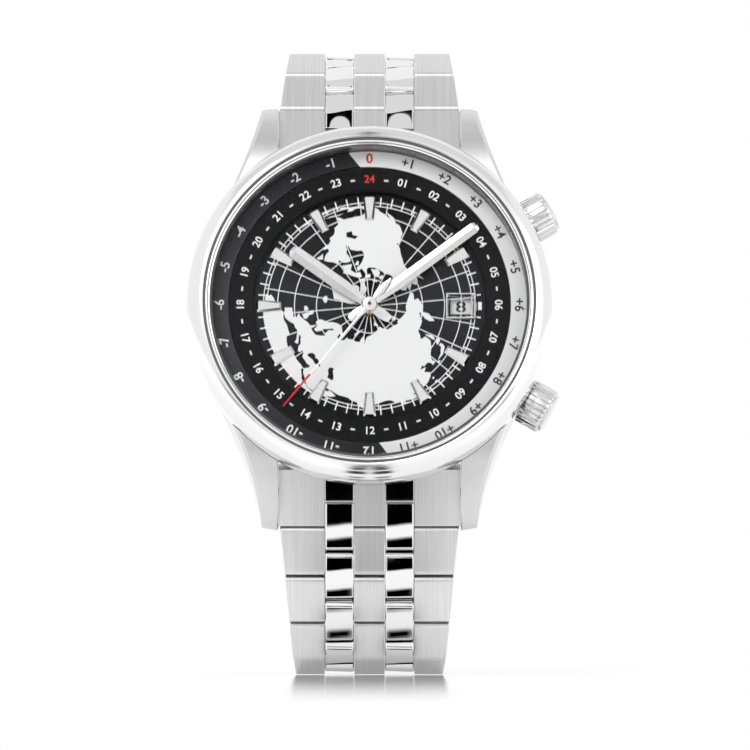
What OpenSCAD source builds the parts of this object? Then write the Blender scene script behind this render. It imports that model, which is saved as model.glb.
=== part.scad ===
/* [Case] */
// Diameter over the bezel
case_d = 42; // [40:0.5:44]
// Largest diameter of the case middle below the bezel
middle_d = 41.2; // [39.6:0.2:41.6]
// Height of the case back flange
back_h = 1.15; // [1:0.05:1.4]
// Height of the case middle's top above the case back's outer face
middle_top = 8.6; // [8.2:0.1:9.2]
// Height of the bezel
bezel_h = 2.5; // [2:0.1:3]
// Height that the bezel's skirt comes down to, over the case middle
bezel_low = 6.95; // [6.9:0.05:7.2]
// Height of the upright part of the bezel's side
bezel_wall = 1.4; // [1:0.1:2]
// Thickness of the bezel's skirt
skirt_t = 1.1; // [0.9:0.05:1.3]
// Diameter of the opening in the bezel
opening_d = 36.2; // [35.4:0.1:36.8]
// Distance between the lugs
lug_gap = 21; // [20:0.5:22]
// Length over the tips of the lugs
lug_span = 49.8; // [49:0.2:52]
// Width of a lug at its tip
lug_tip_w = 1.9; // [1.4:0.1:2.6]
// How far the watch leans back as it stands
lean = 12.5; // [5:0.5:20]

/* [Dial and rings] */
// Diameter of the city ring over its outer edge
city_d = 32.4; // [32:0.1:32.6]
// Diameter of the dial that shows inside the city ring
dial_show_d = 26.6; // [26:0.1:27.2]
// Thickness of the dial
dial_t = 0.4; // [0.3:0.05:0.5]
// Height of the space between the main plate and the dial
under_dial_h = 0.9; // [0.85:0.05:1.2]
// Length of the applied hour markers
marker_l = 2.8; // [2:0.1:3.2]
// Width of an hour marker at its outer end
marker_w = 1.5; // [1:0.1:1.8]
// Height of an hour marker above the dial
marker_h = 0.38; // [0.2:0.02:0.44]
// Distance of the date window from the hands' axis
date_r = 10.5; // [10.2:0.1:10.7]
// Width of the date window
date_w = 2.4; // [2:0.1:2.6]
// Height of the date window
date_win_h = 1.9; // [1.5:0.1:2.2]

/* [Hands] */
// Length of the hour hand from its axis
hour_l = 11.2; // [9:0.2:12]
// Length of the minute hand from its axis
minute_l = 15.6; // [13:0.2:15.8]
// Length of the seconds hand from its axis
seconds_l = 15.6; // [13:0.2:15.8]
// Width of the hour hand at its widest
hour_w = 1.55; // [1:0.05:2]
// Width of the minute hand at its widest
minute_w = 1.25; // [0.8:0.05:1.8]
// Angle of the hour hand, clockwise from twelve
hour_at = 305.9; // [0:0.1:360]
// Angle of the minute hand, clockwise from twelve
minute_at = 53.1; // [0:0.1:360]
// Angle of the seconds hand, clockwise from twelve
seconds_at = 219.5; // [0:0.1:360]

/* [Crowns] */
// Diameter of a crown
crown_d = 5.3; // [4.8:0.1:5.6]
// Length of a crown's fluted part
crown_l = 2.9; // [2.6:0.1:3]
// Number of flutes round a crown
crown_flutes = 26; // [18:1:30]
// Height of the crowns' axes above the case back's outer face
crown_z = 4.2; // [4:0.05:4.3]
// Angle of each crown above or below three o'clock
crown_at = 30; // [27:1:33]
// How far the setting crown pulls out
crown_pull = 1.6; // [1:0.1:1.8]

/* [Movement] */
// Diameter of the movement
move_d = 28.4; // [28:0.1:28.6]
// Thickness of the main plate
plate_t = 1.6; // [1.4:0.1:1.7]
// Thickness of the bridges
bridge_t = 0.6; // [0.5:0.05:0.7]
// Height of the train between the bridges and the main plate
train_h = 1.8; // [1.8:0.05:2]
// Thickness of the rotor's plate
rotor_t = 0.5; // [0.4:0.05:0.6]
// Outer radius of the rotor's weight
rotor_r = 12.9; // [11:0.1:13.2]
// Distance from the centre to the third wheel
third_at = 5.4; // [5.3:0.05:5.6]
// Outer radius of the balance wheel
balance_r = 4.5; // [4:0.1:4.7]

/* [Bracelet] */
// Distance from one row of links to the next
pitch = 5.8; // [5.6:0.05:6]
// Thickness of the links
link_t = 3; // [2.6:0.1:3.1]
// Gap between neighbouring rows
row_gap = 0.1; // [0.06:0.01:0.16]
// Gap between neighbouring columns of links
column_gap = 0.06; // [0.04:0.01:0.1]
// Width of the brushed centre links
centre_w = 3.5; // [3:0.1:4]
// Width of the polished links
polished_w = 3.3; // [2.8:0.1:3.6]
// Width of the bracelet at the clasp
clasp_end_w = 16; // [15.2:0.2:18]
// Radius of the link pins
pin_r = 0.5; // [0.35:0.05:0.6]
// Radial clearance of a pin in its bore
pin_play = 0.04; // [0.02:0.01:0.06]
// Slope of the end links below the dial's plane
end_slope = 26; // [24:0.5:28]
// Radius that the clasp is curved to
clasp_r = 70; // [60:1:90]
// Width of the clasp's cover
cover_w = 17.6; // [17:0.1:19]
// Width of the clasp's blades
blade_w = 11; // [9:0.2:12]
// Thickness of the clasp's blades
blade_t = 0.9; // [0.7:0.05:1]
// Travel of the clasp's buttons
button_travel = 0.6; // [0.4:0.05:0.8]

/* [Hidden] */
$fn = 72;

// Small clearances
tight = 0.03;
gap = 0.1;
free = 0.2;

// Radii of the case, from the bezel inwards
case_r = case_d / 2;
middle_r = middle_d / 2;
opening_r = opening_d / 2;
shoulder_r = case_r - skirt_t;
gasket_w = 0.25;
city_r = city_d / 2;
city_in_r = dial_show_d / 2;
skirt_w = 0.85;
skirt_in_r = city_r - skirt_w;
case_bore_r = city_r + 0.35;
dial_r = skirt_in_r - 0.35;
move_r = move_d / 2;
cavity_r = 18.1;
back_r = cavity_r + 0.5;
glass_r = move_r - 0.8;
window_r = glass_r - 0.6;

// Heights of the stack, from the case back's outer face up
rotor_z = back_h + 0.35;
bridge_z = rotor_z + rotor_t + 0.2;
train_z = bridge_z + bridge_t;
plate_z = train_z + train_h;
works_z = plate_z + plate_t;
dial_z = works_z + under_dial_h;
dial_top = dial_z + dial_t;
ring_z = dial_top + 0.3;
ring_t = 0.35;
ring_top = ring_z + ring_t;
shelf_z = ring_z + 0.1;
offset_t = 0.4;
hand_t = 0.22;
hour_z = dial_top + marker_h + 0.12;
minute_z = max(hour_z + hand_t, ring_top) + 0.2;
seconds_z = minute_z + hand_t + 0.15;
seconds_t = 0.14;
crystal_z = seconds_z + seconds_t + 0.4;
bezel_top = middle_top + bezel_h;
crystal_top = bezel_top + 0.1;

// Crowns and their tubes
crown_r = crown_d / 2;
crown_in = middle_r - 0.25;
crown_face = crown_in + 0.4;
tube_r = 1.3;
stem_r = 0.6;
tube_bore = stem_r + pin_play;
crown_angle = [crown_at, -crown_at];

// Spring bars and end links
bar_y = 20.6;
bar_z = 1.5;
bar_r = 0.75;
tip_r = 0.55;
end_pin = [22.7, 0.6];
end_play = 0.15;

// Bends of the rows, from the end links to the clasp, as the watch stands
bends_12 = [5.5, 19, 28, 23, 19, 16, 12.5, 10.5];
bends_6 = [0.5, 10, 20, 26, 27, 21, 17, 14];
rows = 8;
first_w = lug_gap - 0.4;
taper_power = 2.25;
row_w = [for (n = [0:rows]) clasp_end_w + (first_w - clasp_end_w) * pow(1 - n / rows, taper_power)];

function sum_to(v, n) = n < 0 ? 0 : v[n] + sum_to(v, n - 1);
function row_dir(bends, n) = end_slope + sum_to(bends, n);
function along(a) = [cos(a), -sin(a)];
function pin_at(bends, n) = n == 0 ? end_pin : pin_at(bends, n - 1) + pitch * along(row_dir(bends, n - 1));
function arc(c, r, from, to, steps) =
    [for (i = [0:steps]) c + r * [cos(from + (to - from) * i / steps), sin(from + (to - from) * i / steps)]];
function bezier(a, b, c, steps) =
    [for (i = [0:steps]) let (t = i / steps) (1 - t) * (1 - t) * a + 2 * t * (1 - t) * b + t * t * c];

// Turns the watch from its own frame, dial up, to the way it stands
module stand() {
    rotate([90 - lean, 0, 0]) children();
}

// A solid of revolution from an outline of radii and heights
module turned(outline) {
    rotate_extrude() polygon(outline);
}

module ring(r_in, r_out, z, h) {
    translate([0, 0, z]) difference() {
        cylinder(r = r_out, h = h);
        translate([0, 0, -1]) cylinder(r = r_in, h = h + 2);
    }
}

// Points outwards along a crown's axis
module on_axis(a, from = 0) {
    translate([0, 0, crown_z]) rotate([0, 0, a]) rotate([0, 90, 0]) translate([0, 0, from]) children();
}

// Case

flank = [
    [18.9, back_h], [19.4, 3.1], [20, 4.2], [middle_r, 5.4], [middle_r, bezel_low],
    [shoulder_r - tight, bezel_low], [shoulder_r - tight, middle_top]
];
lug_y = lug_span / 2;
lug_x = lug_gap / 2;

module lug() {
    tip = lug_x + lug_tip_w;
    difference() {
        lug_blank(tip);
        translate([0, 0, bezel_low]) cylinder(r = case_r + tight, h = 10);
    }
}

module lug_blank(tip) {
    intersection() {
        translate([0, 0, -2]) linear_extrude(height = 14) polygon(concat(
            [[lug_x, 11], [lug_x, lug_y - 0.3], [lug_x + 0.3, lug_y], [tip - 0.5, lug_y]],
            bezier([tip, lug_y - 0.45], [tip + 0.9, lug_y - 6], [16.9, 11.4], 8),
            [[14, 9]]
        ));
        rotate([90, 0, 90]) linear_extrude(height = 30) polygon(concat(
            [[9, 1.3], [17, 1.3], [20, 0.7], [lug_y - 0.8, -0.3]],
            bezier([lug_y, 0.1], [lug_y - 1.6, 7.6], [13.5, middle_top - 0.2], 10),
            [[9, middle_top - 0.2]]
        ));
    }
}

module case_middle() {
    color("silver") stand() difference() {
        union() {
            turned(concat(
                [[cavity_r - 2, back_h], [cavity_r - 2, middle_top]],
                [for (i = [len(flank) - 1:-1:0]) flank[i]]
            ));
            for (side = [0, 1], end = [0, 1]) mirror([side, 0, 0]) mirror([0, end, 0]) lug();
        }
        translate([0, 0, back_h - 3]) cylinder(r = cavity_r, h = crown_z + 0.9 - back_h + 3);
        translate([0, 0, back_h - 3]) cylinder(r = cavity_r + 0.3, h = 3.35);
        cylinder(r = case_bore_r, h = 20);
        translate([0, 0, shelf_z]) cylinder(r = opening_r, h = 20);
        for (a = crown_angle) on_axis(a, 10) cylinder(r = tube_r, h = 20);
        for (a = crown_angle) on_axis(a, crown_in) cylinder(r = crown_r + free, h = 20);
        for (end = [-1, 1]) translate([-lug_x - 0.9, end * bar_y, bar_z]) rotate([0, 90, 0])
            cylinder(r = tip_r + pin_play, h = lug_gap + 1.8);
    }
}

module bezel() {
    in_r = opening_r + gasket_w;
    color("gainsboro") stand() turned(concat(
        [[in_r, middle_top], [shoulder_r, middle_top], [shoulder_r, bezel_low], [case_r - 0.1, bezel_low]],
        [[case_r, bezel_low + 0.15]],
        bezier([case_r, bezel_low + bezel_wall], [case_r - 0.1, bezel_top - 0.6], [in_r + 0.97, bezel_top - 0.06], 12),
        [[in_r + 0.95, bezel_top - 0.12], [in_r + 0.9, bezel_top - 0.32], [in_r + 0.6, bezel_top - 0.32]],
        [[in_r + 0.5, bezel_top - 0.12], [in_r, bezel_top - 0.3]]
    ));
}

module crystal() {
    r = opening_r - 0.01;
    sag = 0.35;
    dome_r = (r * r + sag * sag) / (2 * sag);
    span = asin((r - 0.3) / dome_r);
    top = arc([0, crystal_top + sag - dome_r], dome_r, 90 - span, 90, 8);
    color([0.8, 0.9, 1, 0.3]) stand() turned(concat(
        [[0, crystal_z], [r, crystal_z], [r, crystal_top - 0.2]], top
    ));
}

module crystal_gasket() {
    color("whitesmoke") stand() ring(opening_r, opening_r + gasket_w, middle_top, bezel_h - 0.35);
}

module case_back() {
    color("silver") stand() difference() {
        union() {
            turned([[window_r, 0], [back_r - 0.5, 0], [back_r, 0.5], [back_r, back_h], [window_r, back_h]]);
            ring(cavity_r - 0.7, cavity_r - tight, back_h - 0.2, 1.2);
        }
        translate([0, 0, 0.35]) cylinder(r = glass_r, h = 5);
        for (i = [0:5]) rotate([0, 0, 60 * i + 30]) translate([back_r - 0.9, -0.9, -1]) cube([3, 1.8, 1.45]);
    }
}

module case_back_window() {
    color([0.8, 0.9, 1, 0.3]) stand() translate([0, 0, 0.35]) cylinder(r = glass_r - tight, h = back_h - 0.35);
}

module case_back_gasket() {
    color([0.1, 0.1, 0.1]) stand() ring(cavity_r, cavity_r + 0.27, back_h + 0.03, 0.28);
}

module movement_ring() {
    base = back_h + 1.1;
    top = crown_z + 0.85;
    color("gray") stand() difference() {
        union() {
            ring(move_r + tight, cavity_r - tight, base, top - base);
            ring(move_r + tight, dial_r, base, dial_z - 0.02 - base);
        }
        for (a = crown_angle) on_axis(a, 10) cylinder(r = tube_r + gap, h = 12);
        on_axis(-crown_at, skirt_in_r - 0.5) cylinder(r = city_pinion_tip + free, h = 3);
    }
}

module crown_tubes() {
    color("silver") stand() for (a = crown_angle) on_axis(a, cavity_r - 0.9) difference() {
        cylinder(r = tube_r - tight, h = crown_in - cavity_r + 1.6);
        translate([0, 0, -1]) cylinder(r = tube_bore, h = 10);
    }
}

// Dial and rings

module hole_for_date(z) {
    translate([date_r - date_w / 2, -date_win_h / 2, z]) cube([date_w, date_win_h, 3]);
}

module dial() {
    color([0.12, 0.12, 0.13]) stand() difference() {
        translate([0, 0, dial_z]) cylinder(r = dial_r, h = dial_t);
        cylinder(r = hour_pipe_r + 0.12, h = 20);
        hole_for_date(dial_z - 1);
    }
}

module marker(r_out) {
    translate([0, 0, dial_top]) linear_extrude(height = marker_h) polygon([
        [marker_w / 2, r_out - 0.1], [marker_w / 2 - 0.1, r_out], [0.1 - marker_w / 2, r_out],
        [-marker_w / 2, r_out - 0.1], [-marker_w * 0.3, r_out - marker_l], [marker_w * 0.3, r_out - marker_l]
    ]);
}

module hour_markers() {
    r_out = city_in_r - 0.3;
    color("gainsboro") stand() {
        for (i = [1:11]) rotate([0, 0, -30 * (i < 3 ? i : i + 1)]) marker(r_out);
        translate([0, 0, dial_top]) difference() {
            translate([date_r - date_w / 2 - 0.45, -date_win_h / 2 - 0.45, 0])
                cube([date_w + 0.9, date_win_h + 0.9, marker_h]);
            hole_for_date(-1);
        }
        translate([date_r + date_w / 2 + 0.6, -0.47, dial_top]) cube([0.5, 0.94, marker_h]);
    }
}

module offset_ring() {
    color("black") stand() ring(city_r + 0.06, opening_r - tight, shelf_z, offset_t);
}

// City ring with its face gear, and the crown that turns it

city_teeth = 60;
city_pinion_teeth = 8;
city_mesh_r = city_r - skirt_w / 2;
city_module = 2 * city_mesh_r / city_teeth;
city_pinion_r = city_module * city_pinion_teeth / 2;
city_pinion_tip = city_pinion_r + 0.75 * city_module;
city_pitch_z = crown_z + city_pinion_r;

module city_tooth() {
    w = city_module * PI;
    root = 1.05 * city_module + 0.3;
    rotate([90, 0, 90]) translate([0, 0, skirt_in_r]) linear_extrude(height = skirt_w) polygon([
        [-0.24 * w, root], [-0.2 * w, 0.3 * city_module], [-0.1 * w, -0.75 * city_module],
        [0.1 * w, -0.75 * city_module], [0.2 * w, 0.3 * city_module], [0.24 * w, root]
    ]);
}

module city_ring() {
    root_z = city_pitch_z + 1.05 * city_module;
    color([0.1, 0.1, 0.1]) stand() {
        turned([
            [skirt_in_r, root_z], [city_r, root_z], [city_r, ring_top], [city_in_r + 0.25, ring_top],
            [city_in_r, ring_top - 0.2], [city_in_r, ring_z], [skirt_in_r, ring_z]
        ]);
        for (i = [0:city_teeth - 1]) rotate([0, 0, -crown_at + i * 360 / city_teeth])
            translate([0, 0, city_pitch_z]) city_tooth();
    }
}

function gear_points(n, m, phase, root, tip, w_root, w_tip) = [
    for (i = [0:n - 1], k = [0:3]) let (
        t = 360 / n,
        a = phase + i * t + [-w_root, -w_tip, w_tip, w_root][k] * t / 2,
        r = m * n / 2 + (k == 0 || k == 3 ? -root * m : tip * m)
    ) [r * cos(a), r * sin(a)]
];

module gear(n, m, z, h, phase) {
    translate([0, 0, z]) linear_extrude(height = h)
        polygon(gear_points(n, m, phase, 1.15, 0.7, 0.5, 0.2));
}

module pinion(n, m, z, h, phase) {
    translate([0, 0, z]) linear_extrude(height = h)
        polygon(gear_points(n, m, phase, 1.05, 0.7, 0.34, 0.18));
}

// A fluted crown on its own axis, with its inner face at zero
module crown_body() {
    difference() {
        union() {
            cylinder(r1 = crown_r - 0.1, r2 = crown_r, h = 0.1);
            translate([0, 0, 0.1]) cylinder(r = crown_r, h = crown_l - 0.1);
            turned_cap();
        }
        translate([0, 0, -1]) cylinder(r = tube_r + gap, h = 1.5);
        for (i = [0:crown_flutes - 1]) rotate([0, 0, i * 360 / crown_flutes])
            translate([crown_r + 0.06, 0, -0.1]) cylinder(r = 0.21, h = crown_l + 0.2, $fn = 24);
    }
}

module turned_cap() {
    turned(concat([[0, crown_l - 0.1], [crown_r - 0.3, crown_l - 0.1], [crown_r - 0.3, crown_l + 0.12]],
        arc([crown_r - 0.65, crown_l + 0.12], 0.3, 0, 80, 4), [[0, crown_l + 0.55]]));
}

module city_crown() {
    color("silver") stand() on_axis(-crown_at) {
        translate([0, 0, crown_face]) crown_body();
        translate([0, 0, skirt_in_r - 0.3]) cylinder(r = stem_r, h = crown_in + 1.3 - skirt_in_r + 0.3);
        rotate([0, 0, 180 / city_pinion_teeth])
            pinion(city_pinion_teeth, city_module, skirt_in_r, skirt_w + 0.05, 0);
    }
}

// Winding and setting parts

module setting_crown() {
    color("silver") stand() on_axis(crown_at, crown_face) difference() {
        crown_body();
        translate([0, 0, -1]) cylinder(r = stem_r, h = 3.1);
    }
}

module winding_stem() {
    color("silver") stand() on_axis(crown_at) {
        translate([0, 0, 12.4]) cylinder(r = stem_r, h = crown_in + 2.5 - 12.4);
        translate([0, 0, 9.6]) intersection() {
            cylinder(r = stem_r - 0.1, h = 3);
            translate([-0.36, -0.36, 0]) cube([0.72, 0.72, 3]);
        }
    }
}

module winding_clutch() {
    color("silver") stand() on_axis(crown_at, 9.5) difference() {
        union() {
            cylinder(r = 0.95, h = 1.1);
            for (i = [0:11]) rotate([0, 0, 30 * i]) translate([0.8, -0.11, 0]) cube([0.28, 0.22, 0.45]);
        }
        translate([-0.36 - tight, -0.36 - tight, -1]) cube([0.72 + 2 * tight, 0.72 + 2 * tight, 4]);
    }
}

// Fixed parts of the movement

function polar(r, a) = [r * cos(a), r * sin(a)];
third_dir = 215;
barrel_dir = 80;
escape_dir = 285;
minute_dir = 150;
centre_teeth = 64;
third_teeth = 60;
fourth_teeth = 80;
leaf = 8;
m_centre = 2 * third_at / (centre_teeth + leaf);
m_third = 2 * third_at / (third_teeth + leaf);
m_fourth = 0.12;
escape_at = m_fourth * (fourth_teeth + leaf) / 2;
barrel_teeth = 80;
centre_leaf = 10;
m_barrel = 0.145;
barrel_at = m_barrel * (barrel_teeth + centre_leaf) / 2;
third_pos = polar(third_at, third_dir);
escape_pos = polar(escape_at, escape_dir);
barrel_pos = polar(barrel_at, barrel_dir);
pallet_pos = escape_pos + polar(3.3, -25);
balance_pos = pallet_pos + polar(3.6, 40);
minute_at_r = 3.6;
minute_pos = polar(minute_at_r, minute_dir);
m_cannon = 2 * minute_at_r / 48;
m_hour = 2 * minute_at_r / 50;

// Radii of the coaxial pipes at the centre
axle_r = 0.18;
centre_pipe_r = 0.34;
cannon_pipe_r = 0.5;
hour_pipe_r = 0.75;
pivot_r = 0.14;
jewel_r = 0.55;

module arbor(pos, r, from, to) {
    translate([pos[0], pos[1], from]) cylinder(r = r, h = to - from);
}

// A pivoted arbor: thick between its shoulders, thin in the jewels
module pivoted(pos, r) {
    arbor(pos, r, train_z + 0.05, plate_z - 0.05);
    arbor(pos, pivot_r, bridge_z + 0.15, plate_z + 0.45);
}

module main_plate() {
    color([0.75, 0.73, 0.68]) stand() difference() {
        union() {
            translate([0, 0, plate_z]) cylinder(r = move_r, h = plate_t);
            ring(move_r - 0.6, move_r, bridge_z, plate_z - bridge_z + 0.1);
            ring(date_in_r - 0.6, date_in_r - 0.15, works_z - 0.1, 0.1 + under_dial_h - 0.1);
            arbor(minute_pos, 0.3, works_z - 0.1, works_z + 0.66);
        }
        arbor([0, 0], centre_pipe_r + tight, plate_z - 1, works_z + 1);
        for (p = plate_jewels) arbor(p, jewel_r, plate_z - 1, plate_z + 0.5);
        for (p = plate_jewels) arbor(p, pivot_r + 0.1, plate_z - 1, plate_z + 0.8);
        on_axis(crown_at, 9) cylinder(r = tube_r - 0.1, h = 8);
    }
}

plate_jewels = [third_pos, escape_pos, pallet_pos, balance_pos];
bridge_jewels = [third_pos, escape_pos, [0, 0]];

module pillar(pos, r) {
    arbor(pos, r, bridge_z, plate_z);
}

module train_bridge() {
    color([0.8, 0.8, 0.8]) stand() difference() {
        union() {
            translate([0, 0, bridge_z]) linear_extrude(height = bridge_t) difference() {
                circle(r = move_r - 0.75);
                translate(balance_pos) circle(r = balance_r + 0.6);
                translate(balance_pos) rotate(-31) translate([0, -balance_r - 0.6]) square([12, 2 * balance_r + 1.2]);
                rotate(crown_at) translate([move_r - 4.6, -1.6]) square([8, 3.2]);
                cock_shape(free);
            }
            for (a = [42, 130, 180, 258]) pillar(polar(move_r - 1.6, a), 0.75);
            arbor([0, 0], 1.3, rotor_z - 0.15, bridge_z + 0.1);
        }
        for (p = bridge_jewels) arbor(p, jewel_r, bridge_z + 0.12, train_z + 1);
        for (p = bridge_jewels) arbor(p, pivot_r + 0.1, bridge_z - 0.1, train_z + 1);
        arbor(barrel_pos, 0.6, bridge_z - 1, train_z + 1);
    }
}

cock_foot = polar(move_r - 1.7, -62);

module cock_shape(grow) {
    hull() {
        translate(balance_pos) circle(r = 1.5 + grow);
        translate(cock_foot) circle(r = 0.8 + grow);
    }
}

module balance_cock() {
    color([0.8, 0.8, 0.8]) stand() difference() {
        union() {
            translate([0, 0, bridge_z]) linear_extrude(height = bridge_t) cock_shape(0);
            pillar(cock_foot, 0.7);
        }
        arbor(balance_pos, jewel_r, bridge_z + 0.12, train_z + 1);
        arbor(balance_pos, pivot_r + 0.1, bridge_z - 1, train_z + 1);
    }
}

module jewel(pos, z) {
    difference() {
        arbor(pos, jewel_r, z, z + 0.38);
        arbor(pos, pivot_r + tight, z - 1, z + 1);
    }
}

module jewels() {
    color([0.8, 0.1, 0.3]) stand() {
        for (p = plate_jewels) jewel(p, plate_z + 0.06);
        for (p = concat(bridge_jewels, [balance_pos])) jewel(p, bridge_z + 0.14);
    }
}

// Moving train

module barrel() {
    color([0.8, 0.65, 0.3]) stand() difference() {
        union() {
            arbor(barrel_pos, m_barrel * barrel_teeth / 2 - 0.35, train_z + 0.45, train_z + 1.15);
            translate(barrel_pos) gear(barrel_teeth, m_barrel, train_z + 0.85, 0.22, barrel_dir + 180);
            arbor(barrel_pos, 0.55, bridge_z + 0.1, plate_z - 0.05);
        }
        arbor(barrel_pos, 0.25, bridge_z, bridge_z + 0.5);
    }
}

module centre_wheel() {
    color([0.8, 0.65, 0.3]) stand() difference() {
        union() {
            gear(centre_teeth, m_centre, train_z + 1.3, 0.2, third_dir);
            pinion(centre_leaf, m_barrel, train_z + 0.8, 0.5, barrel_dir + 18);
            arbor([0, 0], centre_pipe_r, train_z + 0.8, works_z + 0.75);
        }
        arbor([0, 0], axle_r + tight, train_z, works_z + 2);
        spokes(m_centre * centre_teeth / 2 - 0.6, 1.1, train_z + 1);
    }
}

// Four openings between a wheel's arms
module spokes(r_out, r_in, z) {
    for (a = [0:90:270]) rotate([0, 0, a]) translate([0, 0, z]) linear_extrude(height = 1)
        polygon(concat(arc([0, 0], r_out, 8, 82, 8), arc([0, 0], r_in, 70, 20, 4)));
}

module third_wheel() {
    color([0.8, 0.65, 0.3]) stand() translate(third_pos) {
        difference() {
            gear(third_teeth, m_third, train_z + 0.47, 0.2, third_dir + 180);
            spokes(m_third * third_teeth / 2 - 0.6, 0.8, train_z);
        }
        pinion(leaf, m_centre, train_z + 1.22, 0.36, third_dir + 180 + 180 / leaf);
        pivoted([0, 0], 0.24);
    }
}

module fourth_wheel() {
    color([0.8, 0.65, 0.3]) stand() {
        difference() {
            gear(fourth_teeth, m_fourth, train_z + 0.12, 0.2, escape_dir);
            spokes(m_fourth * fourth_teeth / 2 - 0.6, 0.9, train_z);
        }
        pinion(leaf, m_third, train_z + 0.42, 0.3, third_dir + 180 / leaf);
        arbor([0, 0], axle_r, train_z + 0.05, seconds_z + seconds_t);
        arbor([0, 0], pivot_r, bridge_z + 0.15, train_z + 0.1);
    }
}

escape_teeth = 20;
escape_r = 2.4;

module escape_wheel() {
    t = 360 / escape_teeth;
    color([0.75, 0.75, 0.78]) stand() translate(escape_pos) {
        difference() {
            translate([0, 0, train_z + 0.82]) linear_extrude(height = 0.18) polygon([
                for (i = [0:escape_teeth - 1], k = [0:2])
                    polar([escape_r - 0.5, escape_r, escape_r - 0.1][k], i * t + [0, 0.42 * t, 0.55 * t][k])
            ]);
            spokes(escape_r - 0.8, 0.6, train_z + 0.5);
        }
        pinion(leaf, m_fourth, train_z + 0.06, 0.34, escape_dir + 180 + 180 / leaf);
        pivoted([0, 0], 0.2);
    }
}

module pallet_fork() {
    color([0.75, 0.75, 0.78]) stand() translate(pallet_pos) {
        translate([0, 0, train_z + 0.82]) linear_extrude(height = 0.2) difference() {
            polygon([polar(2.9, 36), polar(2.9, 44), polar(0.5, 75), polar(0.5, 5)]);
            translate(polar(3, 40)) circle(r = 0.2);
        }
        translate([0, 0, train_z + 0.82]) linear_extrude(height = 0.2) polygon([
            polar(0.6, 60), polar(2.5, 86), polar(2.75, 90), polar(2.75, 98), polar(2.3, 97), polar(0.6, 110),
            polar(0.5, 155), polar(0.6, 200), polar(2.3, 213), polar(2.75, 212),
            polar(2.75, 220), polar(2.5, 224), polar(0.6, 250), polar(0.5, 0)
        ]);
        arbor([0, 0], 0.2, train_z + 0.75, plate_z - 0.05);
        arbor([0, 0], pivot_r, train_z + 0.7, plate_z + 0.45);
    }
}

module balance_wheel() {
    rim = balance_r - 0.45;
    color([0.85, 0.7, 0.35]) stand() translate(balance_pos) {
        difference() {
            union() {
                ring(rim, balance_r, train_z + 0.42, 0.3);
                translate([-rim - 0.1, -0.3, train_z + 0.45]) cube([2 * rim + 0.2, 0.6, 0.22]);
                arbor([0, 0], 0.5, train_z + 0.38, train_z + 0.72);
            }
        }
        pivoted([0, 0], 0.2);
    }
}

// Hairspring: a flat spiral tube from the collet outwards
spring_turns = 5;
spring_pitch = 0.38;
spring_in = 0.42;
spring_w = 0.06;
spring_h = 0.16;
spring_steps = 24;

function spiral(a) = polar(spring_in + spring_pitch * a / 360, a);

module hairspring() {
    n = spring_turns * spring_steps;
    step = 360 / spring_steps;
    color([0.3, 0.35, 0.6]) stand() translate([balance_pos[0], balance_pos[1], train_z + 0.12])
        linear_extrude(height = spring_h) polygon(concat(
            [for (i = [0:n]) spiral(i * step)],
            [for (i = [n:-1:0]) spiral(i * step) + spring_w * polar(1, i * step)]
        ));
}

// Motion works and date

date_in_r = 8.8;
date_out_r = 12.2;

module cannon_pinion() {
    color("silver") stand() difference() {
        union() {
            pinion(12, m_cannon, works_z + 0.08, 0.3, minute_dir);
            arbor([0, 0], cannon_pipe_r, works_z + 0.08, minute_z + hand_t);
        }
        arbor([0, 0], centre_pipe_r + tight, works_z - 1, works_z + 0.85);
        arbor([0, 0], axle_r + 0.1, works_z - 1, minute_z + 1);
    }
}

module minute_wheel() {
    color([0.8, 0.65, 0.3]) stand() translate(minute_pos) difference() {
        union() {
            gear(36, m_cannon, works_z + 0.1, 0.18, minute_dir + 180 + 5);
            pinion(10, m_hour, works_z + 0.2, 0.44, minute_dir + 180 + 18);
        }
        arbor([0, 0], 0.3 + tight, works_z - 1, works_z + 1);
    }
}

module hour_wheel() {
    color([0.8, 0.65, 0.3]) stand() difference() {
        union() {
            gear(40, m_hour, works_z + 0.44, 0.18, minute_dir);
            arbor([0, 0], hour_pipe_r, works_z + 0.44, hour_z + hand_t);
        }
        arbor([0, 0], cannon_pipe_r + tight, works_z - 1, hour_z + 1);
    }
}

module date_ring() {
    color("whitesmoke") stand() difference() {
        ring(date_in_r, date_out_r, works_z + 0.3, 0.3);
        for (i = [0:30]) rotate([0, 0, i * 360 / 31]) translate([date_in_r, 0, works_z]) cylinder(r = 0.35, h = 2, $fn = 6);
    }
}

module rotor() {
    hub = 1.3 + pin_play;
    color([0.7, 0.7, 0.72]) stand() difference() {
        union() {
            translate([0, 0, rotor_z]) linear_extrude(height = rotor_t - 0.25)
                polygon(concat(arc([0, 0], rotor_r, 188, 352, 24), arc([0, 0], 2.4, 370, 170, 1)));
            translate([0, 0, rotor_z]) linear_extrude(height = rotor_t)
                polygon(concat(arc([0, 0], rotor_r, 188, 352, 24), arc([0, 0], rotor_r - 2.6, 352, 188, 24)));
            arbor([0, 0], 2.6, rotor_z, rotor_z + rotor_t - 0.1);
        }
        arbor([0, 0], hub, rotor_z - 1, rotor_z + 2);
    }
}

// Hands

module hand(angle, z, h, outline, bore) {
    stand() rotate([0, 0, -angle]) translate([0, 0, z]) difference() {
        union() {
            linear_extrude(height = h) polygon(outline);
            cylinder(r = bore + 0.42, h = h);
        }
        translate([0, 0, -1]) cylinder(r = bore, h = 3);
    }
}

function baton(l, w, tail) = [
    [0, l], [-w * 0.42, l - 1.1], [-w / 2, l * 0.55], [-w * 0.3, 0.8], [-w * 0.3, -tail],
    [w * 0.3, -tail], [w * 0.3, 0.8], [w / 2, l * 0.55], [w * 0.42, l - 1.1]
];

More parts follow.
